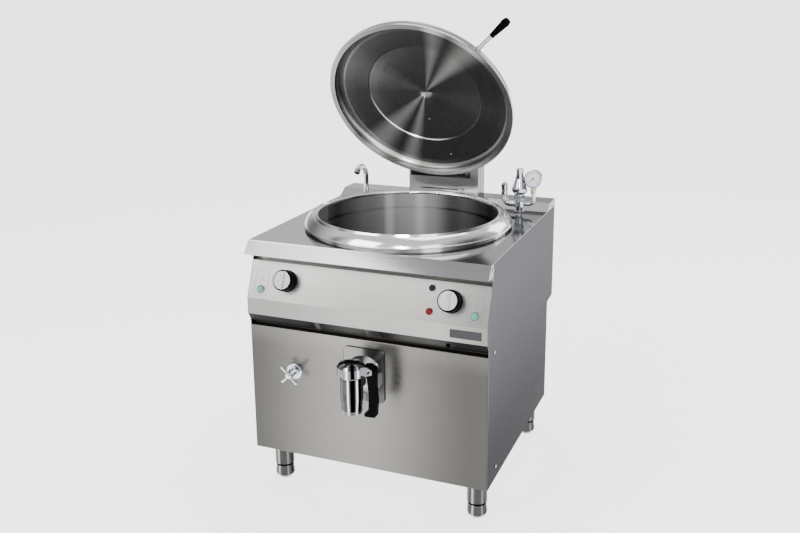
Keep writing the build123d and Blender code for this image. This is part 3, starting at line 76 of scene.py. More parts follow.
class Grain(Enum):
    """Directions in which a sheet is brushed."""

    X = (3.0, 700.0, 700.0)
    Y = (700.0, 3.0, 700.0)
    Z = (700.0, 700.0, 3.0)


class Slot(Enum):
    """Material slot names that go with the small pieces."""

    PRINT = "needle_black"
    PLASTIC = "black_plastic"
    POLISHED = "polished"
    CHROME = "chrome"
    BRASS = "brass"


class Body(Enum):
    """The bodies that the small pieces ride on."""

    CABINET = "cabinet"
    LID = "lid"
    LEFT_SWITCH = "left_switch"
    RIGHT_SWITCH = "right_switch"
    LEVEL_WHEEL = "level_wheel"
    NEEDLE = "needle"


class Sock:
    """A shader value that takes part in sums with Python's operators."""

    def __init__(self, tree: "Tree", socket: bpy.types.NodeSocket) -> None:
        """Wraps one output socket of a tree."""
        self.tree = tree
        self.socket = socket

    def _math(self, operation: str, *others: Value, clamp: bool = False) -> "Sock":
        """Adds one Math node.

        Args:
            operation: the node's operation.
            *others: the values after this one.
            clamp: True to hold the result between 0 and 1.

        Returns:
            The result.
        """
        node = self.tree.nodes.new("ShaderNodeMath")
        node.operation = operation
        node.use_clamp = clamp
        for slot, value in zip(node.inputs, (self, *others)):
            self.tree.feed(slot, value)
        return Sock(self.tree, node.outputs[0])

    def __add__(self, other: Value) -> "Sock":
        """The sum."""
        return self._math("ADD", other)

    __radd__ = __add__

    def __sub__(self, other: Value) -> "Sock":
        """The difference."""
        return self._math("SUBTRACT", other)

    def __rsub__(self, other: Value) -> "Sock":
        """The difference from a number."""
        return (self * -1.0) + other

    def __mul__(self, other: Value) -> "Sock":
        """The product."""
        return self._math("MULTIPLY", other)

    __rmul__ = __mul__

    def root(self) -> "Sock":
        """The square root."""
        return self._math("SQRT")

    def size(self) -> "Sock":
        """The absolute value."""
        return self._math("ABSOLUTE")

    def sign(self) -> "Sock":
        """1 for a positive value, -1 for a negative one."""
        return self._math("SIGN")

    def angle(self, across: "Sock") -> "Sock":
        """The angle to this value from the one across, its zero direction."""
        return self._math("ARCTAN2", across)

    def clamp(self) -> "Sock":
        """The value held between 0 and 1."""
        return self._math("MULTIPLY", 1.0, clamp=True)

    def step(self, low: float, high: float) -> "Sock":
        """A smooth rise from 0 at a low value to 1 at a high one."""
        ends = {0: self, 1: low, 2: high}
        return self.tree.node("ShaderNodeMapRange", 0, ends, interpolation_type="SMOOTHSTEP")

    def band(self, centre: float, width: float) -> "Sock":
        """A smooth bump, 1 at its centre and 0 at a half width from it."""
        return 1.0 - (self - centre).size().step(0.0, width)


class Tree:
    """A material's node tree, filled through one method for every kind of node."""

    def __init__(self, node_tree: bpy.types.NodeTree) -> None:
        """Empties the tree.

        Args:
            node_tree: the tree of a material or world.
        """
        self.nodes = node_tree.nodes
        self.links = node_tree.links
        self.nodes.clear()
        self._object: Optional[Sock] = None

    def feed(self, slot: bpy.types.NodeSocket, value: Value) -> None:
        """Links a socket to a node input, or sets the input's own value.

        Args:
            slot: the input socket.
            value: a Sock, a number, or a sequence of numbers.
        """
        if isinstance(value, Sock):
            self.links.new(value.socket, slot)
        elif isinstance(value, (int, float)) and hasattr(slot.default_value, "__len__"):
            slot.default_value = [value] * len(slot.default_value)
        elif hasattr(slot.default_value, "__len__"):
            padded = [*value, 1.0][: len(slot.default_value)]
            slot.default_value = padded
        else:
            slot.default_value = value

    def node(
        self,
        kind: str,
        output: Union[int, str] = 0,
        inputs: Optional[dict] = None,
        **settings: object,
    ) -> Sock:
        """Makes one node.

        Args:
            kind: the node's Blender type.
            output: name or number of the output to return.
            inputs: values by input name or number.
            **settings: properties of the node.

        Returns:
            The chosen output.
        """
        made = self.nodes.new(kind)
        for name, value in settings.items():
            setattr(made, name, value)
        for name, value in (inputs or {}).items():
            self.feed(made.inputs[name], value)
        return Sock(self, made.outputs[output])

    def place(self) -> Sock:
        """The point being shaded, in the object's own metres."""
        if self._object is None:
            self._object = self.node("ShaderNodeTexCoord", "Object")
        return self._object

    def along(self, direction: Sequence[float], origin: Sequence[float] = (0, 0, 0)) -> Sock:
        """The distance of the point from an origin along a direction.

        Args:
            direction: a unit vector.
            origin: the point where the distance is 0.

        Returns:
            The distance, in metres.
        """
        ends = {0: self.place(), 1: tuple(origin)}
        moved = self.node("ShaderNodeVectorMath", 0, ends, operation="SUBTRACT")
        pair = {0: moved, 1: tuple(direction)}
        return self.node("ShaderNodeVectorMath", "Value", pair, operation="DOT_PRODUCT")

    def polar(self, centre: Vector, first: Vector, second: Vector) -> tuple[Sock, Sock]:
        """Radius and angle about an axis.

        Args:
            centre: a point of the axis.
            first: the unit direction of angle 0.
            second: the unit direction of angle 90 degrees.

        Returns:
            The radius in metres and the angle in radians.
        """
        a = self.along(first, centre)
        b = self.along(second, centre)
        return (a * a + b * b).root(), b.angle(a)

    def join(self, x: Value, y: Value, z: Value) -> Sock:
        """A vector made of three values."""
        return self.node("ShaderNodeCombineXYZ", 0, {0: x, 1: y, 2: z})

    def noise(
        self, scale: Value, detail: float = 3.0, rough: float = 0.6, at: Optional[Sock] = None
    ) -> Sock:
        """Fractal noise from 0 to 1.

        Args:
            scale: cycles per metre, one number or one for each of X, Y and Z.
            detail: number of octaves.
            rough: strength of the fine octaves.
            at: the point, if not the one being shaded.

        Returns:
            The noise.
        """
        point = at or self.place()
        stretched = self.node("ShaderNodeVectorMath", 0, {0: point, 1: scale}, operation="MULTIPLY")
        inputs = {"Vector": stretched, "Scale": 1.0, "Detail": detail, "Roughness": rough}
        return self.node("ShaderNodeTexNoise", 0, inputs)

    def mix(self, factor: Value, a: Value, b: Value) -> Sock:
        """A colour between two others.

        Args:
            factor: 0 for the first colour, 1 for the second.
            a: the first colour.
            b: the second colour.

        Returns:
            The mixed colour.
        """
        made = self.nodes.new("ShaderNodeMix")
        made.data_type = "RGBA"
        self.feed(made.inputs[0], factor)
        self.feed(made.inputs[6], a)
        self.feed(made.inputs[7], b)
        return Sock(self, made.outputs[2])

    def shade(self, colour: Value, light: Value) -> Sock:
        """A colour times its light, 1 for no change."""
        return self.node("ShaderNodeVectorMath", 0, {0: colour, "Scale": light}, operation="SCALE")

    def bump(self, height: Value, distance: float, strength: float = 1.0) -> Sock:
        """A normal bent by a height, where 1 is the distance in metres."""
        inputs = {"Height": height, "Distance": distance, "Strength": strength}
        return self.node("ShaderNodeBump", 0, inputs)


def material(name: str, recipe: Callable[[Tree], dict]) -> bpy.types.Material:
    """Makes a material with one principled shader.

    Args:
        name: the material's name.
        recipe: returns the shader's inputs by name.

    Returns:
        The material.
    """
    made = bpy.data.materials.new(name)
    made.use_nodes = True
    tree = Tree(made.node_tree)
    shader = tree.node("ShaderNodeBsdfPrincipled", 0, recipe(tree))
    out = tree.nodes.new("ShaderNodeOutputMaterial")
    tree.links.new(shader.socket, out.inputs[0])
    return made


@dataclass(frozen=True)
class Sweep:
    """A band of painted light round an axis, or of painted shade where its gain is negative, with
    angles in radians.
    """

    angle: float
    width: float
    gain: float


def swept(value: Sock, turn: Sock, sweeps: Sequence[Sweep]) -> Sock:
    """A lightness with sweeps of painted light and shade added.

    Args:
        value: the lightness.
        turn: the angle about the axis.
        sweeps: what is added.

    Returns:
        The new lightness.
    """
    for sweep in sweeps:
        value = value + turn.band(sweep.angle, sweep.width) * sweep.gain
    return value


def metal(colour: Sock, rough: Sock, normal: Sock) -> dict:
    """The inputs of bare metal."""
    return {"Base Color": colour, "Metallic": 1.0, "Roughness": rough.clamp(), "Normal": normal}


@dataclass(frozen=True)
class Brushed:
    """Satin sheet steel with fine lines one way, the share of it left at grazing angles, and an
    optional pattern of painted light and shade.
    """

    grain: Grain
    tint: Vec3
    rough: float
    light: Optional[Callable[[Tree], Sock]] = None
    edge: float = 1.0

    def __call__(self, tree: Tree) -> dict:
        """The shader's inputs."""
        grit = min(0.14, self.rough * 0.5)
        fine = tree.noise(self.grain.value, 4.0, 0.7)
        wide = tree.noise(tuple(v * 0.12 for v in self.grain.value), 3.0, 0.55)
        haze = tree.noise(3.0, 2.0)
        smear = tree.noise((14.0, 11.0, 17.0), 4.0, 0.65)
        value = 0.86 + fine * 0.14 + (wide - 0.5) * 0.1 + (haze - 0.5) * 0.1
        # painted light and shade from the given pattern
        if self.light is not None:
            value = value * self.light(tree)
        uneven = (fine - 0.5) * grit + (wide - 0.5) * grit * 0.5 + (smear - 0.5) * grit
        bent = tree.bump(fine, 0.00005, 0.6)
        edge = {"Specular Tint": (self.edge, self.edge, self.edge)}
        return metal(tree.shade(self.tint, value), self.rough + uneven, bent) | edge


@dataclass(frozen=True)
class Polished:
    """Bright metal with a faint haze, wipe marks and tiny dimples."""

    tint: Vec3
    rough: float
    scuff: float = 0.1

    def __call__(self, tree: Tree) -> dict:
        """The shader's inputs."""
        haze = tree.noise(28.0, 4.0, 0.6)
        lines = tree.noise((260.0, 900.0, 140.0), 3.0, 0.7)
        dimple = tree.noise(1500.0, 2.0)
        uneven = (haze - 0.5) * self.scuff + (lines - 0.5) * self.scuff
        value = 0.95 + (haze - 0.5) * 0.12 + (lines - 0.5) * 0.05
        bent = tree.bump(dimple * 0.5 + lines * 0.5, 0.00004, 0.35)
        return metal(tree.shade(self.tint, value), self.rough + uneven, bent)


@dataclass(frozen=True)
class Moulded:
    """Moulded plastic with a fine eroded texture and slightly rubbed places."""

    colour: Vec3
    rough: float
    shine: float

    def __call__(self, tree: Tree) -> dict:
        """The shader's inputs."""
        pits = tree.node("ShaderNodeTexVoronoi", 0, {"Vector": tree.place(), "Scale": 1700.0})
        rub = tree.noise(60.0, 4.0, 0.6)
        return {
            "Base Color": tree.shade(self.colour, 0.8 + rub * 0.5),
            "Roughness": (self.rough + (rub - 0.5) * 0.25).clamp(),
            "Specular IOR Level": self.shine,
            "Normal": tree.bump(pits, 0.00006, 0.5),
        }


@dataclass(frozen=True)
class Lens:
    """A coloured translucent lens, with the strength of its glow, a faint painted glow on the push
    buttons.
    """

    colour: Vec3
    glow: float
    shine: float = 0.4

    def __call__(self, tree: Tree) -> dict:
        """The shader's inputs."""
        cells = tree.node("ShaderNodeTexVoronoi", 0, {"Vector": tree.place(), "Scale": 520.0})
        cloud = tree.noise(150.0, 3.0)
        return {
            "Base Color": tree.shade(self.colour, 0.75 + cloud * 0.5),
            "Roughness": (0.18 + (cloud - 0.5) * 0.2).clamp(),
            "Specular IOR Level": self.shine,
            "Emission Color": tree.shade(self.colour, 0.6 + cells * 0.5),
            "Emission Strength": self.glow,
            "Normal": tree.bump(cells, 0.0002, 0.3),
        }


@dataclass(frozen=True)
class SpunLid:
    """The lid's inside: lines in rings, with painted highlights: rays out of the middle, arcs on
    the lower left and a bright rim.
    """

    tint: Vec3 = (0.74, 0.73, 0.71)
    step_radius: float = 0.292
    emboss_radius: float = 0.1995
    rim_radius: float = 0.303
    rays: tuple[Sweep, ...] = (
        Sweep(1.23, 0.17, 0.45),
        Sweep(0.8, 0.26, 0.75),
        Sweep(-1.92, 0.17, 0.65),
        Sweep(-2.36, 0.26, 0.6),
        Sweep(2.65, 0.5, 0.1),
        Sweep(-0.2, 0.5, 0.06),
    )

    def __call__(self, tree: Tree) -> dict:
        """The shader's inputs."""
        radius, angle = tree.polar(LID_CENTRE, X_AXIS, LID_FRONT)
        rings = tree.noise(1.0, 4.0, 0.7, tree.join(radius * 900.0, angle * 1.5, 0.0))
        wide = tree.noise(1.0, 3.0, 0.6, tree.join(radius * 90.0, angle * 0.6, 3.0))
        flicker = tree.noise(1.0, 3.0, 0.7, tree.join(angle * 9.0, 0.0, 7.0))
        # painted sheen: faint streaks that change with the angle
        value = 0.135 + (flicker - 0.5) * 0.05
        middle = radius.step(0.0, 0.02)
        # painted highlights: bright rays out of the middle
        for ray in self.rays:
            value = value + angle.band(ray.angle, ray.width) * middle * ray.gain
        # painted highlights on the lower left of the step and the emboss, and thin painted shade on
        # the rest of the emboss
        low_left = angle.band(-2.2, 1.1)
        value = value + radius.band(self.step_radius, 0.02) * low_left * 0.45
        value = value + radius.band(self.emboss_radius, 0.0028) * (low_left * 0.5 - 0.04)
        # painted highlight along the rim, strongest over one arc
        rim = radius.step(self.rim_radius, self.rim_radius + 0.003)
        value = value + rim * (angle.band(-1.35, 0.9) * 1.7 + 0.08)
        value = value * (0.9 + rings * 0.2) * (0.93 + wide * 0.14)
        rough = 0.3 + (rings - 0.5) * 0.18 + (wide - 0.5) * 0.08
        return metal(tree.shade(self.tint, value), rough, tree.bump(rings, 0.00005, 0.5))


@dataclass(frozen=True)
class PanWall:
    """The vessel's inside: lines round the wall, soft upright bands, painted reflections and
    painted shade in upright sweeps, and a weld near the rim.
    """

    tint: Vec3 = (0.94, 0.93, 0.94)
    weld_height: float = 0.834
    # painted reflections where the gain is positive, painted shade where it is negative, in upright
    # bands round the wall
    sweeps: tuple[Sweep, ...] = (
        Sweep(2.18, 0.09, 0.5),
        Sweep(1.8, 0.1, 0.28),
        Sweep(1.42, 0.24, -0.3),
        Sweep(0.7, 1.00, -0.56),
        Sweep(2.95, 0.45, -0.38),
    )

    def __call__(self, tree: Tree) -> dict:
        """The shader's inputs."""
        angle = tree.polar(KETTLE_CENTRE, X_AXIS, Y_AXIS)[1]
        height = tree.along(Z_AXIS)
        lines = tree.noise(1.0, 4.0, 0.7, tree.join(height * 500.0, angle * 2.0, 1.0))
        bands = tree.noise(1.0, 2.0, 0.5, tree.join(angle * 2.2, height * 0.6, 5.0))
        weld = height.band(self.weld_height, 0.0016)
        stain = height.band(self.weld_height, 0.01) * 0.1
        value = 0.58 + (lines - 0.5) * 0.1 + (bands - 0.5) * 0.25 - stain - weld * 0.2
        rough = 0.42 + (lines - 0.5) * 0.12 + (bands - 0.5) * 0.08 + weld * 0.2
        # painted light and shade from the sweeps
        colour = tree.shade(self.tint, swept(value, angle, self.sweeps).clamp())
        return metal(colour, rough, tree.bump(lines * 0.15 + weld * 2.0, 0.00005, 0.4))


@dataclass(frozen=True)
class Turned:
    """Metal turned or polished in rings about an axis, given by a point and two directions, with
    optional sweeps of painted light and shade.
    """

    centre: Vector
    first: Vector
    second: Vector
    tint: Vec3
    rough: float
    sweeps: tuple[Sweep, ...] = ()

    def __call__(self, tree: Tree) -> dict:
        """The shader's inputs."""
        radius, angle = tree.polar(self.centre, self.first, self.second)
        rings = tree.noise(1.0, 3.0, 0.7, tree.join(radius * 1200.0, angle * 2.0, 0.0))
        haze = tree.noise(20.0, 3.0)
        slow = tree.noise(1.0, 2.0, 0.5, tree.join(angle * 1.6, 0.0, 2.0))
        value = 0.92 + (rings - 0.5) * 0.12 + (slow - 0.5) * 0.14
        # painted light and shade from the sweeps, if any
        colour = tree.shade(self.tint, swept(value, angle, self.sweeps).clamp())
        rough = self.rough + (rings - 0.5) * 0.12 + (haze - 0.5) * 0.08
        return metal(colour, rough, tree.bump(rings, 0.00004, 0.4))


def tap_axis(tree: Tree) -> Sock:
    """The angle about the drain tap's upright axis."""
    return tree.polar(TAP_CENTRE, X_AXIS, Y_AXIS)[1]


def leg_axis(tree: Tree) -> Sock:
    """The angle about the nearest leg's upright axis."""
    x = tree.along(X_AXIS)
    y = tree.along(Y_AXIS, LEG_CENTRE)
    across = x - x.sign() * LEG_X
    return (y - y.sign() * LEG_Y).angle(across)


@dataclass(frozen=True)
class Striped:
    """Bright round metal with painted reflections in light and dark upright bands about an axis."""

    axis: Callable[[Tree], Sock]
    tint: Vec3
    base: float
    stripes: tuple[Sweep, ...]
    rough: float

    def __call__(self, tree: Tree) -> dict:
        """The shader's inputs."""
        turn = self.axis(tree)
        haze = tree.noise((60.0, 60.0, 30.0), 4.0, 0.6)
        # painted reflections: the light and dark bands about the axis
        value = swept(self.base + (haze - 0.5) * 0.06, turn, self.stripes)
        rough = self.rough + (haze - 0.5) * 0.06
        colour = tree.shade(self.tint, value.clamp())
        return metal(colour, rough, tree.bump(haze, 0.00005, 0.3))


# painted reflections: light and dark upright bands round the drain tap and its cap
TAP_STRIPES = (
    Sweep(-1.48, 0.13, 0.8),
    Sweep(-1.06, 0.26, -0.25),
    Sweep(-0.66, 0.11, 0.8),
    Sweep(0.25, 0.4, -0.22),
    Sweep(-2.75, 0.45, -0.12),
    Sweep(1.3, 0.3, 0.8),
    Sweep(2.2, 0.25, 0.6),
)
# painted reflections: light and dark upright bands round the legs
LEG_STRIPES = (
    Sweep(-1.75, 0.22, 0.42),
    Sweep(-0.75, 0.16, 0.16),
    Sweep(-0.15, 0.3, -0.1),
    Sweep(0.55, 0.45, -0.16),
    Sweep(-2.75, 0.4, -0.16),
    Sweep(1.6, 0.35, 0.4),
)
# painted reflections: dark sweeps round the rim ring
RING_SWEEPS = (
    Sweep(-2.35, 0.5, -0.8),
    Sweep(-0.7, 0.2, -0.2),
    Sweep(0.6, 0.6, -0.3),
)


@dataclass(frozen=True)
class ClearGlass:
    """The gauge's window, with faint smears."""

    def __call__(self, tree: Tree) -> dict:
        """The shader's inputs."""
        smear = tree.noise((90.0, 40.0, 120.0), 4.0, 0.6)
        return {
            "Base Color": (0.95, 0.97, 0.97),
            "Roughness": (0.03 + smear * 0.06).clamp(),
            "Alpha": 0.12 + smear * 0.05,
            "Coat Weight": 0.6,
        }


@dataclass(frozen=True)
class Wool:
    """Mineral wool in two tones, lighter on its tufts, with painted shade in its hollows."""

    hollow: Vec3 = (0.42, 0.35, 0.22)
    tuft: Vec3 = (0.75, 0.68, 0.5)

    def __call__(self, tree: Tree) -> dict:
        """The shader's inputs."""
        tufts = tree.noise((220.0, 220.0, 60.0), 5.0, 0.75)
        return {
            # the wool's own two tones, and painted shade where the bump is low
            "Base Color": tree.mix(tufts, self.hollow, self.tuft),
            "Roughness": 0.95,
            "Normal": tree.bump(tufts, 0.002, 0.8),
        }


@dataclass(frozen=True)
class Zinc:
    """Zinc-coated steel with its spangle."""

    tint: Vec3 = (0.55, 0.56, 0.58)

    def __call__(self, tree: Tree) -> dict:
        """The shader's inputs."""
        cells = {"Vector": tree.place(), "Scale": 110.0}
        spangle = tree.node("ShaderNodeTexVoronoi", "Color", cells)
        dirt = tree.noise(9.0, 5.0, 0.65)
        return {
            "Base Color": tree.shade(tree.mix(0.12, self.tint, spangle), 0.75 + dirt * 0.3),
            "Metallic": 0.9,
            "Roughness": (0.42 + (dirt - 0.5) * 0.3).clamp(),
            "Normal": tree.bump(dirt, 0.0003, 0.2),
        }


@dataclass(frozen=True)
class Painted:
    """Even paint or print with a slight orange peel."""

    colour: Vec3
    rough: float = 0.5

    def __call__(self, tree: Tree) -> dict:
        """The shader's inputs."""
        peel = tree.noise(700.0, 2.0)
        tone = tree.noise(40.0, 3.0)
        return {
            "Base Color": tree.shade(self.colour, 0.94 + tone * 0.12),
            "Roughness": (self.rough + (tone - 0.5) * 0.1).clamp(),
            "Normal": tree.bump(peel, 0.00005, 0.3),
        }


@dataclass(frozen=True)
class PaleFloor:
    """A plain white studio floor, faintly lit from below."""

    tint: Vec3 = (0.92, 0.92, 0.92)
    glow: float = 2.2

    def __call__(self, tree: Tree) -> dict:
        """The shader's inputs."""
        tone = tree.noise(2.0, 2.0)
        return {
            "Base Color": tree.shade(self.tint, 0.99 + tone * 0.02),
            "Roughness": 0.8,
            "Emission Color": EVEN,
            "Emission Strength": self.glow,
        }


def front_light(tree: Tree) -> Sock:
    """Painted light and shade on the front panel: lighter in its middle and top, with a painted
    reflection of the tap as a darker band to its right.
    """
    x = tree.along(X_AXIS)
    z = tree.along(Z_AXIS)
    # painted reflection of the tap as a darker band, and painted light in the middle and towards
    # the top
    tap_reflection_band = x.band(0.105, 0.035) * z.band(0.46, 0.13)
    return 0.24 + x.band(-0.04, 0.4) * 0.46 + z.step(0.5, 0.565) * 0.12 - tap_reflection_band * 0.2


def plate_light(tree: Tree) -> Sock:
    """Painted light and shade on the tap plate: light on the left, darker on the right with one
    slanting painted highlight, and darkened edges.
    """
    x = tree.along(X_AXIS)
    z = tree.along(Z_AXIS)
    turn = (z - (PLATE_TOP - 0.088)).angle(x)
    right = x.step(-0.012, 0.01)
    # painted highlight: one slanting ray on the darker right
    ray = turn.band(0.95, 0.16) * right
    sides = x.size().step(PLATE_HALF - 0.003, PLATE_HALF - 0.0012)
    edge = (sides + z.step(PLATE_TOP - 0.0026, PLATE_TOP - 0.001)).clamp()
    return (0.78 - right * 0.5 + ray * 0.42) * (1.0 - edge * 0.9)


def deck_light(tree: Tree) -> Sock:
    """Painted light and shade on the worktop: darker towards its rear right, its apron darker, most
    at the left, and its ends darker.
    """
    x = tree.along(X_AXIS)
    y = tree.along(Y_AXIS)
    apron = y.step(-0.322, -0.326)
    # painted light and shade on the top, the apron and the ends
    top = 1.0 - x.step(-0.05, 0.28) * (0.42 + y.step(-0.1, 0.3) * 0.33)
    face = top + apron * (x.step(-0.4, 0.4) * 0.6 - 0.56)
    return face * (1.0 - x.size().step(0.398, 0.3988) * 0.6)


def fascia_light(tree: Tree) -> Sock:
    """Painted light and shade on the fascia: lighter left, darker lip and return, two tabs less
    dark.
    """
    x = tree.along(X_AXIS)
    z = tree.along(Z_AXIS)
    # painted light lighter to the left, painted shade on the lower fascia and more on the return
    # under the lip
    under = z.step(0.6128, 0.6115)
    lip = z.step(0.666, 0.6645)
    tabs = x.band(-0.156, 0.01).step(0.0, 0.2) + x.band(0.033, 0.03).step(0.0, 0.2)
    slope = 1.0 + x.step(0.05, -0.35) * 0.45 - x.step(0.22, 0.4) * 0.26
    return slope - lip * (0.28 + x.step(0.05, -0.35) * 0.65) - under * (0.62 - tabs * 0.16)


def housing_light(tree: Tree) -> Sock:
    """Painted light and shade on the hinge housing: its end faces darker, with two lighter upright
    bands.
    """
    x = tree.along(X_AXIS).size()
    y = tree.along(Y_AXIS)
    end = x.step(0.1335, 0.1338)
    # painted shade on the end faces, with two lighter upright bands
    return 1.2 + end * (y.band(0.405, 0.008) * 0.4 + y.band(0.44, 0.012) * 0.3 - 1.05)


def side_light(tree: Tree) -> Sock:
    """Painted light and shade on the side: its fold along its back edge a little lighter, and
    darker towards the bottom.
    """
    y = tree.along(Y_AXIS)
    z = tree.along(Z_AXIS)
    # painted highlight on the fold, and painted shade towards the bottom
    return 1.0 + y.step(0.455, 0.458) * 0.25 - z.step(0.85, 0.15) * 0.55


STEEL = (0.27, 0.262, 0.247)
# painted shade: the sides and back take a darker, cooler copy of the steel
SHADED_STEEL = (0.185, 0.186, 0.197)


def finishes() -> dict[str, bpy.types.Material]:
    """Every material, by the name that the table of nodes uses."""
    made = {
        "deck": Brushed(Grain.X, (0.56, 0.56, 0.58), 0.1, deck_light),
        "front": Brushed(Grain.X, STEEL, 0.3, front_light),
        "fascia": Brushed(Grain.X, (0.44, 0.43, 0.415), 0.32, fascia_light),
        # painted shade: the recess channel is a near-black steel, for the shade in it
        "recess": Brushed(Grain.X, (0.05, 0.045, 0.04), 0.4),
        "plate": Brushed(Grain.X, (0.045, 0.045, 0.048), 0.34),
        "side": Brushed(Grain.Y, SHADED_STEEL, 0.33, side_light, 0.32),
        "back": Brushed(Grain.Z, SHADED_STEEL, 0.38, None, 0.7),
        "housing": Brushed(Grain.X, (0.42, 0.42, 0.42), 0.24, housing_light),
        "lid_inside": SpunLid(),
        "lid_outside": Turned(LID_CENTRE, X_AXIS, LID_FRONT, (0.42, 0.41, 0.39), 0.22),
        "pan": PanWall(),
        "ring": Turned(KETTLE_CENTRE, X_AXIS, Y_AXIS, (0.92, 0.92, 0.93), 0.13, RING_SWEEPS),
        "jacket": Turned(KETTLE_CENTRE, X_AXIS, Y_AXIS, (0.7, 0.69, 0.67), 0.36),
        "polished": Polished((0.45, 0.44, 0.43), 0.2),
        "chrome": Polished((0.52, 0.54, 0.57), 0.05, 0.05),
        "silver": Polished((0.6, 0.6, 0.61), 0.26, 0.12),
        "brass": Polished((0.78, 0.62, 0.34), 0.25),
        "tap": Striped(tap_axis, (0.88, 0.9, 0.93), 0.055, TAP_STRIPES, 0.06),
        "cap": Striped(tap_axis, (0.8, 0.83, 0.87), 0.17, TAP_STRIPES, 0.08),
        "tap_plate": Brushed(Grain.X, STEEL, 0.32, plate_light),
        "leg": Striped(leg_axis, (0.62, 0.61, 0.58), 0.065, LEG_STRIPES, 0.16),
        "black": Moulded((0.0015, 0.0015, 0.002), 0.38, 0.015),
        "grip": Moulded((0.001, 0.001, 0.0015), 0.42, 0.01),
        # painted glow: the push buttons' lenses glow faintly
        "green": Lens((0.1, 0.34, 0.23), 0.1),
        "dark_green": Lens((0.002, 0.012, 0.009), 0.0, 0.15),
        "red": Lens((0.13, 0.002, 0.004), 0.0, 0.2),
        "white": Painted((0.9, 0.9, 0.88)),
        "ink": Painted((0.03, 0.03, 0.035)),
        "grey_ink": Painted((0.17, 0.17, 0.17)),
        "glass": ClearGlass(),
        "zinc": Zinc(),
        "wool": Wool(),
        "spring": Polished((0.35, 0.34, 0.33), 0.35),
        "element": Polished((0.3, 0.27, 0.24), 0.4),
    }
    return {name: material(name, recipe) for name, recipe in made.items()}


NODE_FINISH = {
    "deck": ("worktop",),
    "front": ("front_panel",),
    "tap_plate": ("tap_plate",),
    "fascia": ("control_panel",),
    "recess": ("recess_channel",),
    "plate": ("blank_plate",),
    "side": ("left_side_panel", "right_side_panel"),
    "back": ("back_panel",),
    "housing": ("hinge_housing",),
    "lid_inside": ("lid_dish",),
    "lid_outside": ("lid_shell",),
    "pan": ("vessel",),
    "ring": ("rim_ring",),
    "jacket": ("steam_jacket", "drain_pipe", "jacket_pipes"),
    "polished": ("lid_arms", "hinge_shaft", "handle_rod", "panel_screws")
    + ("tap_plunger", "hinge_blocks"),
    "tap": ("tap_body",),
    "cap": ("tap_cap",),
    "chrome": ("level_tap_body", "level_handle", "spout", "spout_socket")
    + ("safety_manifold", "safety_valve_body", "safety_valve_cap")
    + ("gauge_case", "indicator_bezels", "vacuum_valve"),
    "silver": ("left_knob_cap", "right_knob_cap"),
    "brass": ("water_inlets",),
    "leg": ("base_frame", "foot_front_left", "foot_back_left")
    + ("foot_front_right", "foot_back_right"),
    "black": ("left_knob", "right_knob", "tap_lever", "electrical_units", "cable_gland"),
    "grip": ("handle_grip",),
    "green": ("left_button", "right_button"),
    "dark_green": ("lamp_green",),
    "red": ("lamp_red",),
    "white": ("gauge_dial",),
    "ink": ("gauge_needle",),
    "glass": ("gauge_glass",),
    "zinc": ("bottom_tray",),
    "wool": ("insulation",),
    "spring": ("balance_springs",),
    "element": ("heating_elements",),
}


@dataclass
class Place:
    """A local frame in which a piece is drawn: x to its right, y up, z outwards."""

    origin: Vector
    right: Vector
    up: Vector

    def at(self, x: float, y: float, z: float = 0.0) -> Vector:
        """The point with these local coordinates, in metres."""
        return self.origin + self.right * x + self.up * y + self.out * z

    @property
    def out(self) -> Vector:
        """The outward direction."""
        return self.right.cross(self.up)


def facing_front(x: float, y: float, z: float) -> Place:
    """A frame that faces the front."""
    return Place(Vector((x, y, z)), X_AXIS, Z_AXIS)


def facing_up(x: float, y: float, z: float) -> Place:
    """A frame that faces upwards."""
    return Place(Vector((x, y, z)), X_AXIS, Y_AXIS)


def on_fascia(x: float, height: float) -> Place:
    """A frame on the fascia, with its height along the slope from the middle."""
    return Place(FASCIA_CENTRE + X_AXIS * x + FASCIA_UP * height, X_AXIS, FASCIA_UP)


def spoke(radius: float, degrees: float) -> Point:
    """The point at a radius and an angle in degrees."""
    angle = math.radians(degrees)
    return radius * math.cos(angle), radius * math.sin(angle)


def arc(radius: float, start: float, end: float, count: int) -> list[Point]:
    """Evenly spaced points on an arc, from a first to a last angle in degrees."""
    return [spoke(radius, start + (end - start) * i / (count - 1)) for i in range(count)]


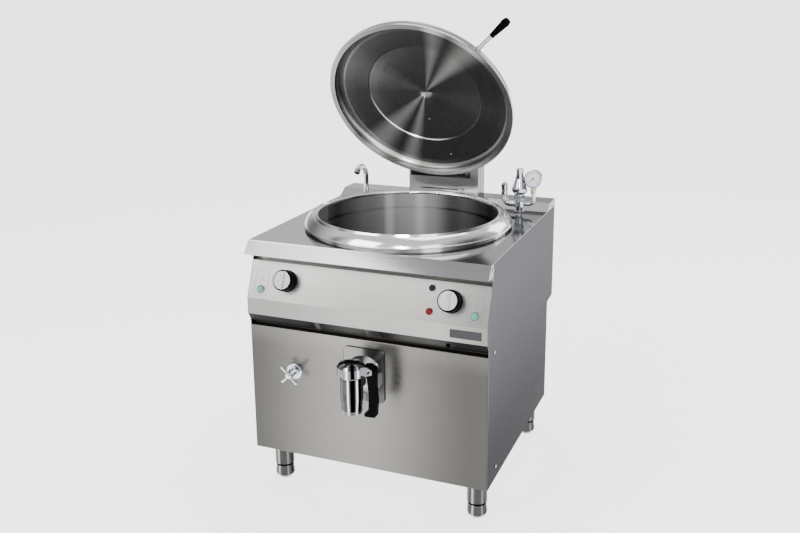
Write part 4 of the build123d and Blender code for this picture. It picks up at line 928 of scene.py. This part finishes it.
@dataclass
class Trim:
    """What every group of small pieces can do: keep its materials and make its pieces."""

    made: dict[str, bpy.types.Material]
    names: list[str] = field(default_factory=list)

    def piece(
        self, name: str, shape: Mesh, finish: str, slot: Slot, body: Body = Body.CABINET
    ) -> None:
        """Turns a mesh into a finished piece of the scene.

        Args:
            name: the piece's name.
            shape: its mesh, freed here.
            finish: its material.
            slot: the piece's slot; not used.
            body: the body it rides on.
        """
        bmesh.ops.recalc_face_normals(shape, faces=shape.faces)
        data = bpy.data.meshes.new(name)
        shape.to_mesh(data)
        shape.free()
        thing = bpy.data.objects.new(name, data)
        data.materials.append(self.made[finish])
        bpy.context.scene.collection.objects.link(thing)
        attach(thing, body.value)
        self.names.append(name)

    @staticmethod
    def turn(shape: Mesh, place: Place, profile: Sequence[Point], steps: int = 48) -> None:
        """Adds a turned form about the frame's outward axis.

        Args:
            shape: the mesh to add to.
            place: the frame.
            profile: closed outline as pairs of radius and height.
            steps: number of segments.
        """
        points = [shape.verts.new(place.at(r, 0, h)) for r, h in profile]
        edges = [shape.edges.new((a, b)) for a, b in zip(points, points[1:] + points[:1])]
        bmesh.ops.spin(
            shape,
            geom=points + edges,
            cent=place.origin,
            axis=place.out,
            angle=math.tau,
            steps=steps,
            use_merge=True,
        )
        bmesh.ops.remove_doubles(shape, verts=shape.verts, dist=1e-6)
        for face in shape.faces:
            face.smooth = len(face.verts) == 4

    @staticmethod
    def line(
        shape: Mesh, place: Place, points: Sequence[Point], width: float, rise: float
    ) -> None:
        """Adds a flat printed or raised line through points.

        Args:
            shape: the mesh to add to.
            place: the frame.
            points: pairs of local x and y.
            width: the line's width, in metres.
            rise: its height over the surface.
        """
        rows = []
        for i, (x, y) in enumerate(points):
            before = Vector(points[max(i - 1, 0)])
            after = Vector(points[min(i + 1, len(points) - 1)])
            if points[0] == points[-1] and i in (0, len(points) - 1):
                before, after = Vector(points[-2]), Vector(points[1])
            along = (after - before).normalized()
            side = Vector((-along.y, along.x)) * width / 2
            corners = ((-1, -SUNK), (-1, rise), (1, rise), (1, -SUNK))
            row = [shape.verts.new(place.at(x + side.x * k, y + side.y * k, h)) for k, h in corners]
            rows.append([shape.edges.new(pair) for pair in zip(row, row[1:])])
        for one, two in zip(rows, rows[1:]):
            bmesh.ops.bridge_loops(shape, edges=one + two)
        for end in (rows[0], rows[-1]):
            bmesh.ops.contextual_create(shape, geom=end)

    def figures(
        self,
        name: str,
        place: Place,
        marks: Iterable[tuple[str, float, float]],
        size: float,
        finish: str,
        rise: float = 0.0002,
    ) -> None:
        """Adds plain figures.

        Args:
            name: start of the pieces' names.
            place: the frame.
            marks: text, local x and local y of each figure's middle.
            size: the height of the line of text, in metres.
            finish: their material.
            rise: their thickness.
        """
        for number, (text, x, y) in enumerate(marks):
            data = bpy.data.curves.new(f"{name}_{number}", "FONT")
            data.body = text
            data.size = size
            data.align_x = "CENTER"
            data.align_y = "CENTER"
            flat = bpy.data.objects.new("flat", data)
            mesh = bpy.data.meshes.new_from_object(flat)
            bpy.data.objects.remove(flat)
            shape = bmesh.new()
            shape.from_mesh(mesh)
            bpy.data.meshes.remove(mesh)
            for vert in shape.verts:
                vert.co = place.at(x + vert.co.x, y + vert.co.y, 0.0)
            extruded = bmesh.ops.extrude_face_region(shape, geom=list(shape.faces))
            lifted = [v for v in extruded["geom"] if isinstance(v, bmesh.types.BMVert)]
            bmesh.ops.translate(shape, verts=lifted, vec=place.out * rise)
            self.piece(f"{name}_{number}", shape, finish, Slot.PRINT)


@dataclass
class ControlPanel(Trim):
    """The print on the sloping fascia and the small parts of its two rotary switches."""

    button_x: float = 0.355
    button_height: float = -0.03
    knob_height: float = 0.005
    left_x: float = -0.266
    right_x: float = 0.28
    left_marks: tuple[float, ...] = (215, 270, 325)
    right_marks: tuple[float, ...] = (215, 235, 270, 305, 325)
    print_rise: float = 0.00015
    label_corner: float = 0.006
    mark_inner: float = 0.0385
    mark_outer: float = 0.0425
    sweep_radius: float = 0.044
    figure_radius: float = 0.0475
    cap_height: float = 0.0416

    def push_labels(self) -> None:
        """The framed fields round the two push buttons, with a plain power sign in each."""
        right, left, top, bottom = 0.016, -0.017, 0.054, -0.012
        corners = ((right, top, 0), (left, top, 90), (left, bottom, 180), (right, bottom, 270))
        for side, x in (("left", -self.button_x), ("right", self.button_x)):
            place = on_fascia(x, self.button_height)
            shape = bmesh.new()
            outline = []
            for cx, cy, start in corners:
                bend = arc(self.label_corner, start, start + 90, 6)
                outline += [(cx + dx, cy + dy) for dx, dy in bend]
            outline.append(outline[0])
            ring = [(dx, dy + 0.034) for dx, dy in arc(0.0052, 120, 420, 20)]
            self.line(shape, place, outline, 0.0011, self.print_rise)
            self.line(shape, place, ring, 0.001, self.print_rise)
            self.line(shape, place, [(0, 0.0345), (0, 0.0415)], 0.001, self.print_rise)
            self.piece(f"{side}_push_label", shape, "grey_ink", Slot.PRINT)

    def knob_scales(self) -> None:
        """Printed marks and figures round the rotary switches."""
        for side, x, marks in (
            ("left", self.left_x, self.left_marks),
            ("right", self.right_x, self.right_marks),
        ):
            place = on_fascia(x, self.knob_height)
            shape = bmesh.new()
            for turn in marks:
                ends = [spoke(r, turn) for r in (self.mark_inner, self.mark_outer)]
                self.line(shape, place, ends, 0.0014, self.print_rise)
            self.line(shape, place, arc(self.sweep_radius, 238, 302, 16), 0.0009, self.print_rise)
            self.piece(f"{side}_scale", shape, "grey_ink", Slot.PRINT)
            figures = [(str(i), *spoke(self.figure_radius, turn)) for i, turn in enumerate(marks)]
            self.figures(f"{side}_figure", place, figures, 0.008, "grey_ink")

    def knob_grips(self) -> None:
        """A raised bead and a dark pointer line on each rotary switch."""
        bead = [(0.033, 0.033), (0.0334, 0.0338), (0.0325, 0.0342), (0.0318, 0.0336)]
        for side, x, body in (
            ("left", self.left_x, Body.LEFT_SWITCH),
            ("right", self.right_x, Body.RIGHT_SWITCH),
        ):
            place = on_fascia(x, self.knob_height)
            shape = bmesh.new()
            self.turn(shape, place, bead)
            self.piece(f"{side}_knob_bead", shape, "black", Slot.PLASTIC, body)
            shape = bmesh.new()
            cap = Place(place.at(0, 0, self.cap_height), place.right, place.up)
            self.line(shape, cap, [(0, 0.008), (0, 0.022)], 0.0016, 0.0002)
            self.piece(f"{side}_pointer", shape, "ink", Slot.PRINT, body)

    def build(self) -> None:
        """Makes the group's pieces."""
        self.push_labels()
        self.knob_scales()
        self.knob_grips()


@dataclass
class PressureGauge(Trim):
    """The pressure gauge's printed scale and figures, and the boss on its needle."""

    centre: Vec3 = (0.357, 0.3105, 0.973)
    print_depth: float = 0.00048
    boss_lift: float = 0.0005
    start: float = 225
    span: float = 270
    marks: int = 40
    outer: float = 0.024
    figure_radius: float = 0.0145

    def build(self) -> None:
        """Makes the group's pieces."""
        place = facing_front(*self.centre)
        printed = Place(place.at(0, 0, -self.print_depth), place.right, place.up)
        boss = Place(place.at(0, 0, self.boss_lift), place.right, place.up)
        shape = bmesh.new()
        for i in range(self.marks + 1):
            long = i % 5 == 0
            turn = self.start - self.span * i / self.marks
            ends = [spoke(r, turn) for r in (0.0185 if long else 0.0205, self.outer)]
            self.line(shape, printed, ends, 0.001 if long else 0.0005, 0.00012)
        rim = arc(self.outer + 0.0003, self.start, self.start - self.span, 60)
        self.line(shape, printed, rim, 0.0006, 0.00012)
        self.piece("gauge_scale", shape, "ink", Slot.PRINT)
        figures = [
            (str(i), *spoke(self.figure_radius, self.start - self.span * i / 4)) for i in range(5)
        ]
        self.figures("gauge_figure", printed, figures, 0.007, "ink", 0.00008)
        dome = [(0.0, 0.0022), (0.0034, 0.0022), (0.004, 0.0018), (0.004, 0.0014), (0.0, 0.0014)]
        shape = bmesh.new()
        self.turn(shape, boss, dome, 24)
        self.piece("gauge_boss", shape, "ink", Slot.PRINT, Body.NEEDLE)


@dataclass
class LidTrim(Trim):
    """Rivet heads on the inside of the lid, each at a radius, an angle and a height."""

    rivets: tuple[Vec3, ...] = ((0.114, 267, 0.0608), (0.256, 283, 0.0357))

    def build(self) -> None:
        """Makes the group's pieces."""
        dome = [(0, -0.0012), (0.0028, -0.0012), (0.0032, 0.0002), (0.0024, 0.0016), (0, 0.0022)]
        shape = bmesh.new()
        for radius, degrees, height in self.rivets:
            x, y = spoke(radius, degrees)
            spot = LID_CENTRE + LID_UP * height + X_AXIS * x + LID_FRONT * y
            self.turn(shape, Place(spot, X_AXIS, -LID_FRONT), dome, 20)
        self.piece("lid_rivets", shape, "polished", Slot.POLISHED, Body.LID)


@dataclass
class DrainTrim(Trim):
    """The drain tap's rings and the head of its lever's pin."""

    ring_heights: tuple[float, ...] = (0.3765, 0.38, 0.3835)
    foot_height: float = 0.375
    foot_radius: float = 0.0302
    foot_slope: float = 0.102
    pivot: Vec3 = (0.066, -0.448, 0.52)

    def rings(self) -> None:
        """Three thread rings at the outlet and one ring under the cap."""
        bottom = Place(TAP_CENTRE, X_AXIS, Y_AXIS)
        shape = bmesh.new()
        for low in self.ring_heights:
            r = self.foot_radius + (low - self.foot_height) * self.foot_slope
            thread = [(r - 0.001, low), (r + 0.0009, low + 0.0008), (r - 0.001, low + 0.0016)]
            self.turn(shape, bottom, thread, 64)
        collar = [(0.0348, 0.493), (0.0392, 0.4932), (0.0392, 0.4941), (0.0348, 0.4941)]
        self.turn(shape, bottom, collar, 64)
        self.piece("tap_rings", shape, "chrome", Slot.CHROME)

    def pivot_head(self) -> None:
        """The head of the lever's pin."""
        head = [(0.0, 0.0), (0.0062, 0.0), (0.0062, 0.0016), (0.005, 0.0028), (0.0, 0.003)]
        shape = bmesh.new()
        self.turn(shape, facing_front(*self.pivot), head, 28)
        self.piece("tap_pivot_head", shape, "chrome", Slot.CHROME)

    def build(self) -> None:
        """Makes the group's pieces."""
        self.rings()
        self.pivot_head()


@dataclass
class LevelTrim(Trim):
    """The level tap's collar and the cap in the middle of its cross handle."""

    x: float = -0.244
    z: float = 0.432
    collar_y: float = -0.342
    cap_y: float = -0.3828

    def build(self) -> None:
        """Makes the group's pieces."""
        ring = [(0.01, -0.001), (0.015, -0.001), (0.015, 0.0018), (0.0135, 0.003), (0.01, 0.003)]
        shape = bmesh.new()
        self.turn(shape, facing_front(self.x, self.collar_y, self.z), ring, 40)
        self.piece("level_collar", shape, "chrome", Slot.CHROME)
        dome = [(0.0, 0.0), (0.0062, 0.0), (0.006, 0.0012), (0.004, 0.0022), (0.0, 0.0026)]
        shape = bmesh.new()
        self.turn(shape, facing_front(self.x, self.cap_y, self.z), dome, 28)
        self.piece("level_cap", shape, "silver", Slot.POLISHED, Body.LEVEL_WHEEL)


@dataclass
class SieveTrim(Trim):
    """The round sieve of bars over the vessel's drain."""

    centre: Vec3 = (0.0, -0.2, 0.49)
    radius: float = 0.0215
    bar_gap: float = 0.0058

    def build(self) -> None:
        """Makes the group's pieces."""
        place = facing_up(*self.centre)
        r = self.radius
        rim = [(r, 0.0), (0.0265, 0.0), (0.0265, 0.001), (0.022, 0.0018), (r, 0.0014)]
        shape = bmesh.new()
        self.turn(shape, place, rim, 48)
        for i in range(-3, 4):
            across = i * self.bar_gap
            half = math.sqrt(r**2 - across**2)
            self.line(shape, place, [(-half, across), (half, across)], 0.0016, 0.0012)
        self.piece("drain_strainer", shape, "polished", Slot.POLISHED)


@dataclass
class DeckTrim(Trim):
    """Sealing rings under the fittings on the deck, and the safety group's union nuts."""

    seals: tuple[Vec3, ...] = ((0.308, SAFETY_Y, 0.019), (-0.275, 0.313, 0.021))
    nuts: tuple[Vec3, ...] = ((0.254, 0.9035, 0.0105), (0.357, 0.9195, 0.008))
    gauge_nut: Vec3 = (0.357, SAFETY_Y, 0.9265)

    def build(self) -> None:
        """Makes the group's pieces."""
        shape = bmesh.new()
        for x, y, r in self.seals:
            lip = [(r - 0.002, 0.0), (r + 0.0016, 0.0), (r + 0.0016, 0.0007), (r - 0.002, 0.0012)]
            self.turn(shape, facing_up(x, y, DECK_Z), lip)
        self.piece("deck_seals", shape, "grip", Slot.PLASTIC)
        shape = bmesh.new()
        for x, z, r in self.nuts:
            low, high = r - 0.001, r + 0.0022
            flank = [(low, 0.0), (high, 0.0006), (high, 0.0034), (low, 0.004)]
            self.turn(shape, facing_up(x, SAFETY_Y, z), flank, 6)
        self.piece("union_nuts", shape, "chrome", Slot.CHROME)
        shape = bmesh.new()
        nut = [(0.0094, 0.0), (0.0108, 0.0008), (0.0108, 0.0092), (0.0094, 0.01)]
        self.turn(shape, facing_up(*self.gauge_nut), nut, 6)
        self.piece("gauge_nut", shape, "brass", Slot.BRASS)


@dataclass
class HandleTrim(Trim):
    """The ferrule between the lid handle's rod and its grip."""

    turned: float = math.radians(43)
    rise: float = math.radians(5)
    start: float = 0.316
    lift: float = 0.016
    ferrule_at: float = 0.072

    def build(self) -> None:
        """Makes the group's pieces."""
        radial = X_AXIS * math.cos(self.turned) + LID_FRONT * math.sin(self.turned)
        along = radial * math.cos(self.rise) + LID_UP * math.sin(self.rise)
        start = LID_CENTRE + radial * self.start + LID_UP * self.lift
        across = along.orthogonal().normalized()
        place = Place(start + along * self.ferrule_at, across, along.cross(across))
        ring = [(0.007, 0.0), (0.0096, 0.0006), (0.01, 0.004), (0.007, 0.0046)]
        shape = bmesh.new()
        self.turn(shape, place, ring, 32)
        self.piece("grip_ferrule", shape, "chrome", Slot.CHROME, Body.LID)


@dataclass
class SideTrim(Trim):
    """Cross recesses in the side panels' screws, drawn as raised black lines of painted shade."""

    x: float = 0.4018
    screws: tuple[Point, ...] = ((-0.309, 0.832), (-0.281, 0.569), (-0.249, 0.179))
    half: float = 0.0028

    def build(self) -> None:
        """Makes the group's pieces."""
        cross = (((-self.half, 0), (self.half, 0)), ((0, -self.half), (0, self.half)))
        shape = bmesh.new()
        for side in (-1, 1):
            for y, z in self.screws:
                place = Place(Vector((side * self.x, y, z)), Y_AXIS * side, Z_AXIS)
                for ends in cross:
                    self.line(shape, place, ends, 0.0009, 0.00015)
        # painted shade: black crosses for the screws' recesses
        self.piece("screw_recesses", shape, "ink", Slot.PRINT)


@dataclass(frozen=True)
class Lamp:
    """A soft rectangular lamp: where it is, what it faces, its two sides and its power."""

    name: str
    place: Vec3
    aim: Vec3
    width: float
    height: float
    power: float


def hang(name: str, data: bpy.types.Light, place: Vec3, aim: Vec3) -> None:
    """Puts a lamp in the scene.

    Args:
        name: the lamp's name.
        data: its light.
        place: where it is.
        aim: the point it faces.
    """
    made = bpy.data.objects.new(name, data)
    made.location = place
    made.rotation_mode = "QUATERNION"
    made.rotation_quaternion = (Vector(aim) - Vector(place)).to_track_quat("-Z", "Y")
    bpy.context.scene.collection.objects.link(made)


@dataclass
class Studio:
    """Camera, floor, sky and lamps."""

    lens_mm: float = 41.76
    place: Vec3 = (1.118, -2.764, 1.635)
    yaw: float = math.radians(22.25)
    pitch: float = math.radians(14.03)
    roll: float = math.radians(-0.55)
    shift_y: float = -0.065
    beam_place: Vec3 = (0.55, -2.0, 2.05)
    beam_aim: Vec3 = (0.0, 0.3, 0.78)
    beam_power: float = 160.0
    beam_angle: float = math.radians(17.0)
    lamps: tuple[Lamp, ...] = (
        Lamp("key", (-1.9, -3.2, 3.4), (0.0, 0.0, 0.8), 2.2, 2.2, 95.0),
        Lamp("fill", (3.2, -3.0, 2.6), (0.0, 0.0, 0.7), 1.6, 2.4, 32.0),
        Lamp("top", (0.2, 0.6, 4.2), (0.0, 0.0, 0.9), 3.2, 2.6, 85.0),
        Lamp("rear", (2.4, 3.6, 2.6), (0.0, 0.0, 0.9), 2.0, 2.0, 40.0),
    )

    def camera(self) -> None:
        """Makes the camera and gives it to the scene."""
        ahead = Vector((-math.sin(self.yaw), math.cos(self.yaw), 0))
        forward = ahead * math.cos(self.pitch) - Z_AXIS * math.sin(self.pitch)
        level = Vector((math.cos(self.yaw), math.sin(self.yaw), 0))
        up = level.cross(forward)
        right = level * math.cos(self.roll) + up * math.sin(self.roll)
        top = up * math.cos(self.roll) - level * math.sin(self.roll)
        data = bpy.data.cameras.new("camera")
        data.sensor_width = 36.0
        data.lens = self.lens_mm
        data.shift_y = self.shift_y
        data.clip_end = 500.0
        made = bpy.data.objects.new("camera", data)
        turn = Matrix((right, top, -forward)).transposed().to_4x4()
        made.matrix_world = Matrix.Translation(self.place) @ turn
        bpy.context.scene.collection.objects.link(made)
        bpy.context.scene.camera = made

    def floor(self) -> None:
        """Makes the plain pale floor."""
        shape = bmesh.new()
        bmesh.ops.create_grid(shape, x_segments=1, y_segments=1, size=150.0)
        data = bpy.data.meshes.new("floor")
        shape.to_mesh(data)
        shape.free()
        made = bpy.data.objects.new("floor", data)
        made.data.materials.append(material("floor", PaleFloor()))
        bpy.context.scene.collection.objects.link(made)

    def sky(self) -> None:
        """Makes an even bright surround, darker towards the right."""
        world = bpy.data.worlds.new("surround")
        world.use_nodes = True
        tree = Tree(world.node_tree)
        turn = tree.along(Y_AXIS).angle(tree.along(X_AXIS))
        height = tree.along(Z_AXIS)
        gap = turn.band(-1.3, 0.22) * 0.6
        gap = gap + turn.band(0.1, 0.95) * 0.9 + turn.band(-2.75, 0.22) * 0.8
        dark = (gap * (1.0 - height.step(0.45, 0.8))).clamp()
        colour = tree.mix(dark, EVEN, (0.03, 0.03, 0.035))
        shader = tree.node("ShaderNodeBackground", 0, {"Color": colour, "Strength": 0.9})
        out = tree.nodes.new("ShaderNodeOutputWorld")
        tree.links.new(shader.socket, out.inputs[0])
        bpy.context.scene.world = world

    def light(self) -> None:
        """Makes the soft lamps."""
        for lamp in self.lamps:
            data = bpy.data.lights.new(lamp.name, "AREA")
            data.shape = "RECTANGLE"
            data.size = lamp.width
            data.size_y = lamp.height
            data.energy = lamp.power
            hang(lamp.name, data, lamp.place, lamp.aim)

    def beam(self) -> None:
        """Makes the narrow soft beam that reaches the vessel's far wall."""
        data = bpy.data.lights.new("beam", "SPOT")
        data.energy = self.beam_power
        data.spot_size = self.beam_angle
        data.spot_blend = 0.5
        data.shadow_soft_size = 0.25
        hang("beam", data, self.beam_place, self.beam_aim)

    def build(self) -> None:
        """Makes everything that isn't the kettle."""
        self.floor()
        self.sky()
        self.light()
        self.beam()
        self.camera()


def dress(frame: dict, made: dict[str, bpy.types.Material]) -> None:
    """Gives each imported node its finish.

    Args:
        made: the materials by name.
    """
    nodes = frame["nodes"]
    for finish, names in NODE_FINISH.items():
        for name in names:
            thing = nodes[name]
            thing.data.materials.clear()
            thing.data.materials.append(made[finish])
            log.info("node %s in %s", name, finish)


GROUPS: tuple[type[Trim], ...] = (
    ControlPanel,
    PressureGauge,
    LidTrim,
    DrainTrim,
    LevelTrim,
    SieveTrim,
    DeckTrim,
    HandleTrim,
    SideTrim,
)


def main() -> None:
    """Loads the frame, dresses it, adds the details and the studio."""
    logging.basicConfig(level=logging.INFO)
    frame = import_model()
    made = finishes()
    dress(frame, made)
    for kind in GROUPS:
        group = kind(made)
        group.build()
        for name in group.names:
            log.info("%s made %s", kind.__name__, name)
    Studio().build()


if __name__ == "__main__":
    main()
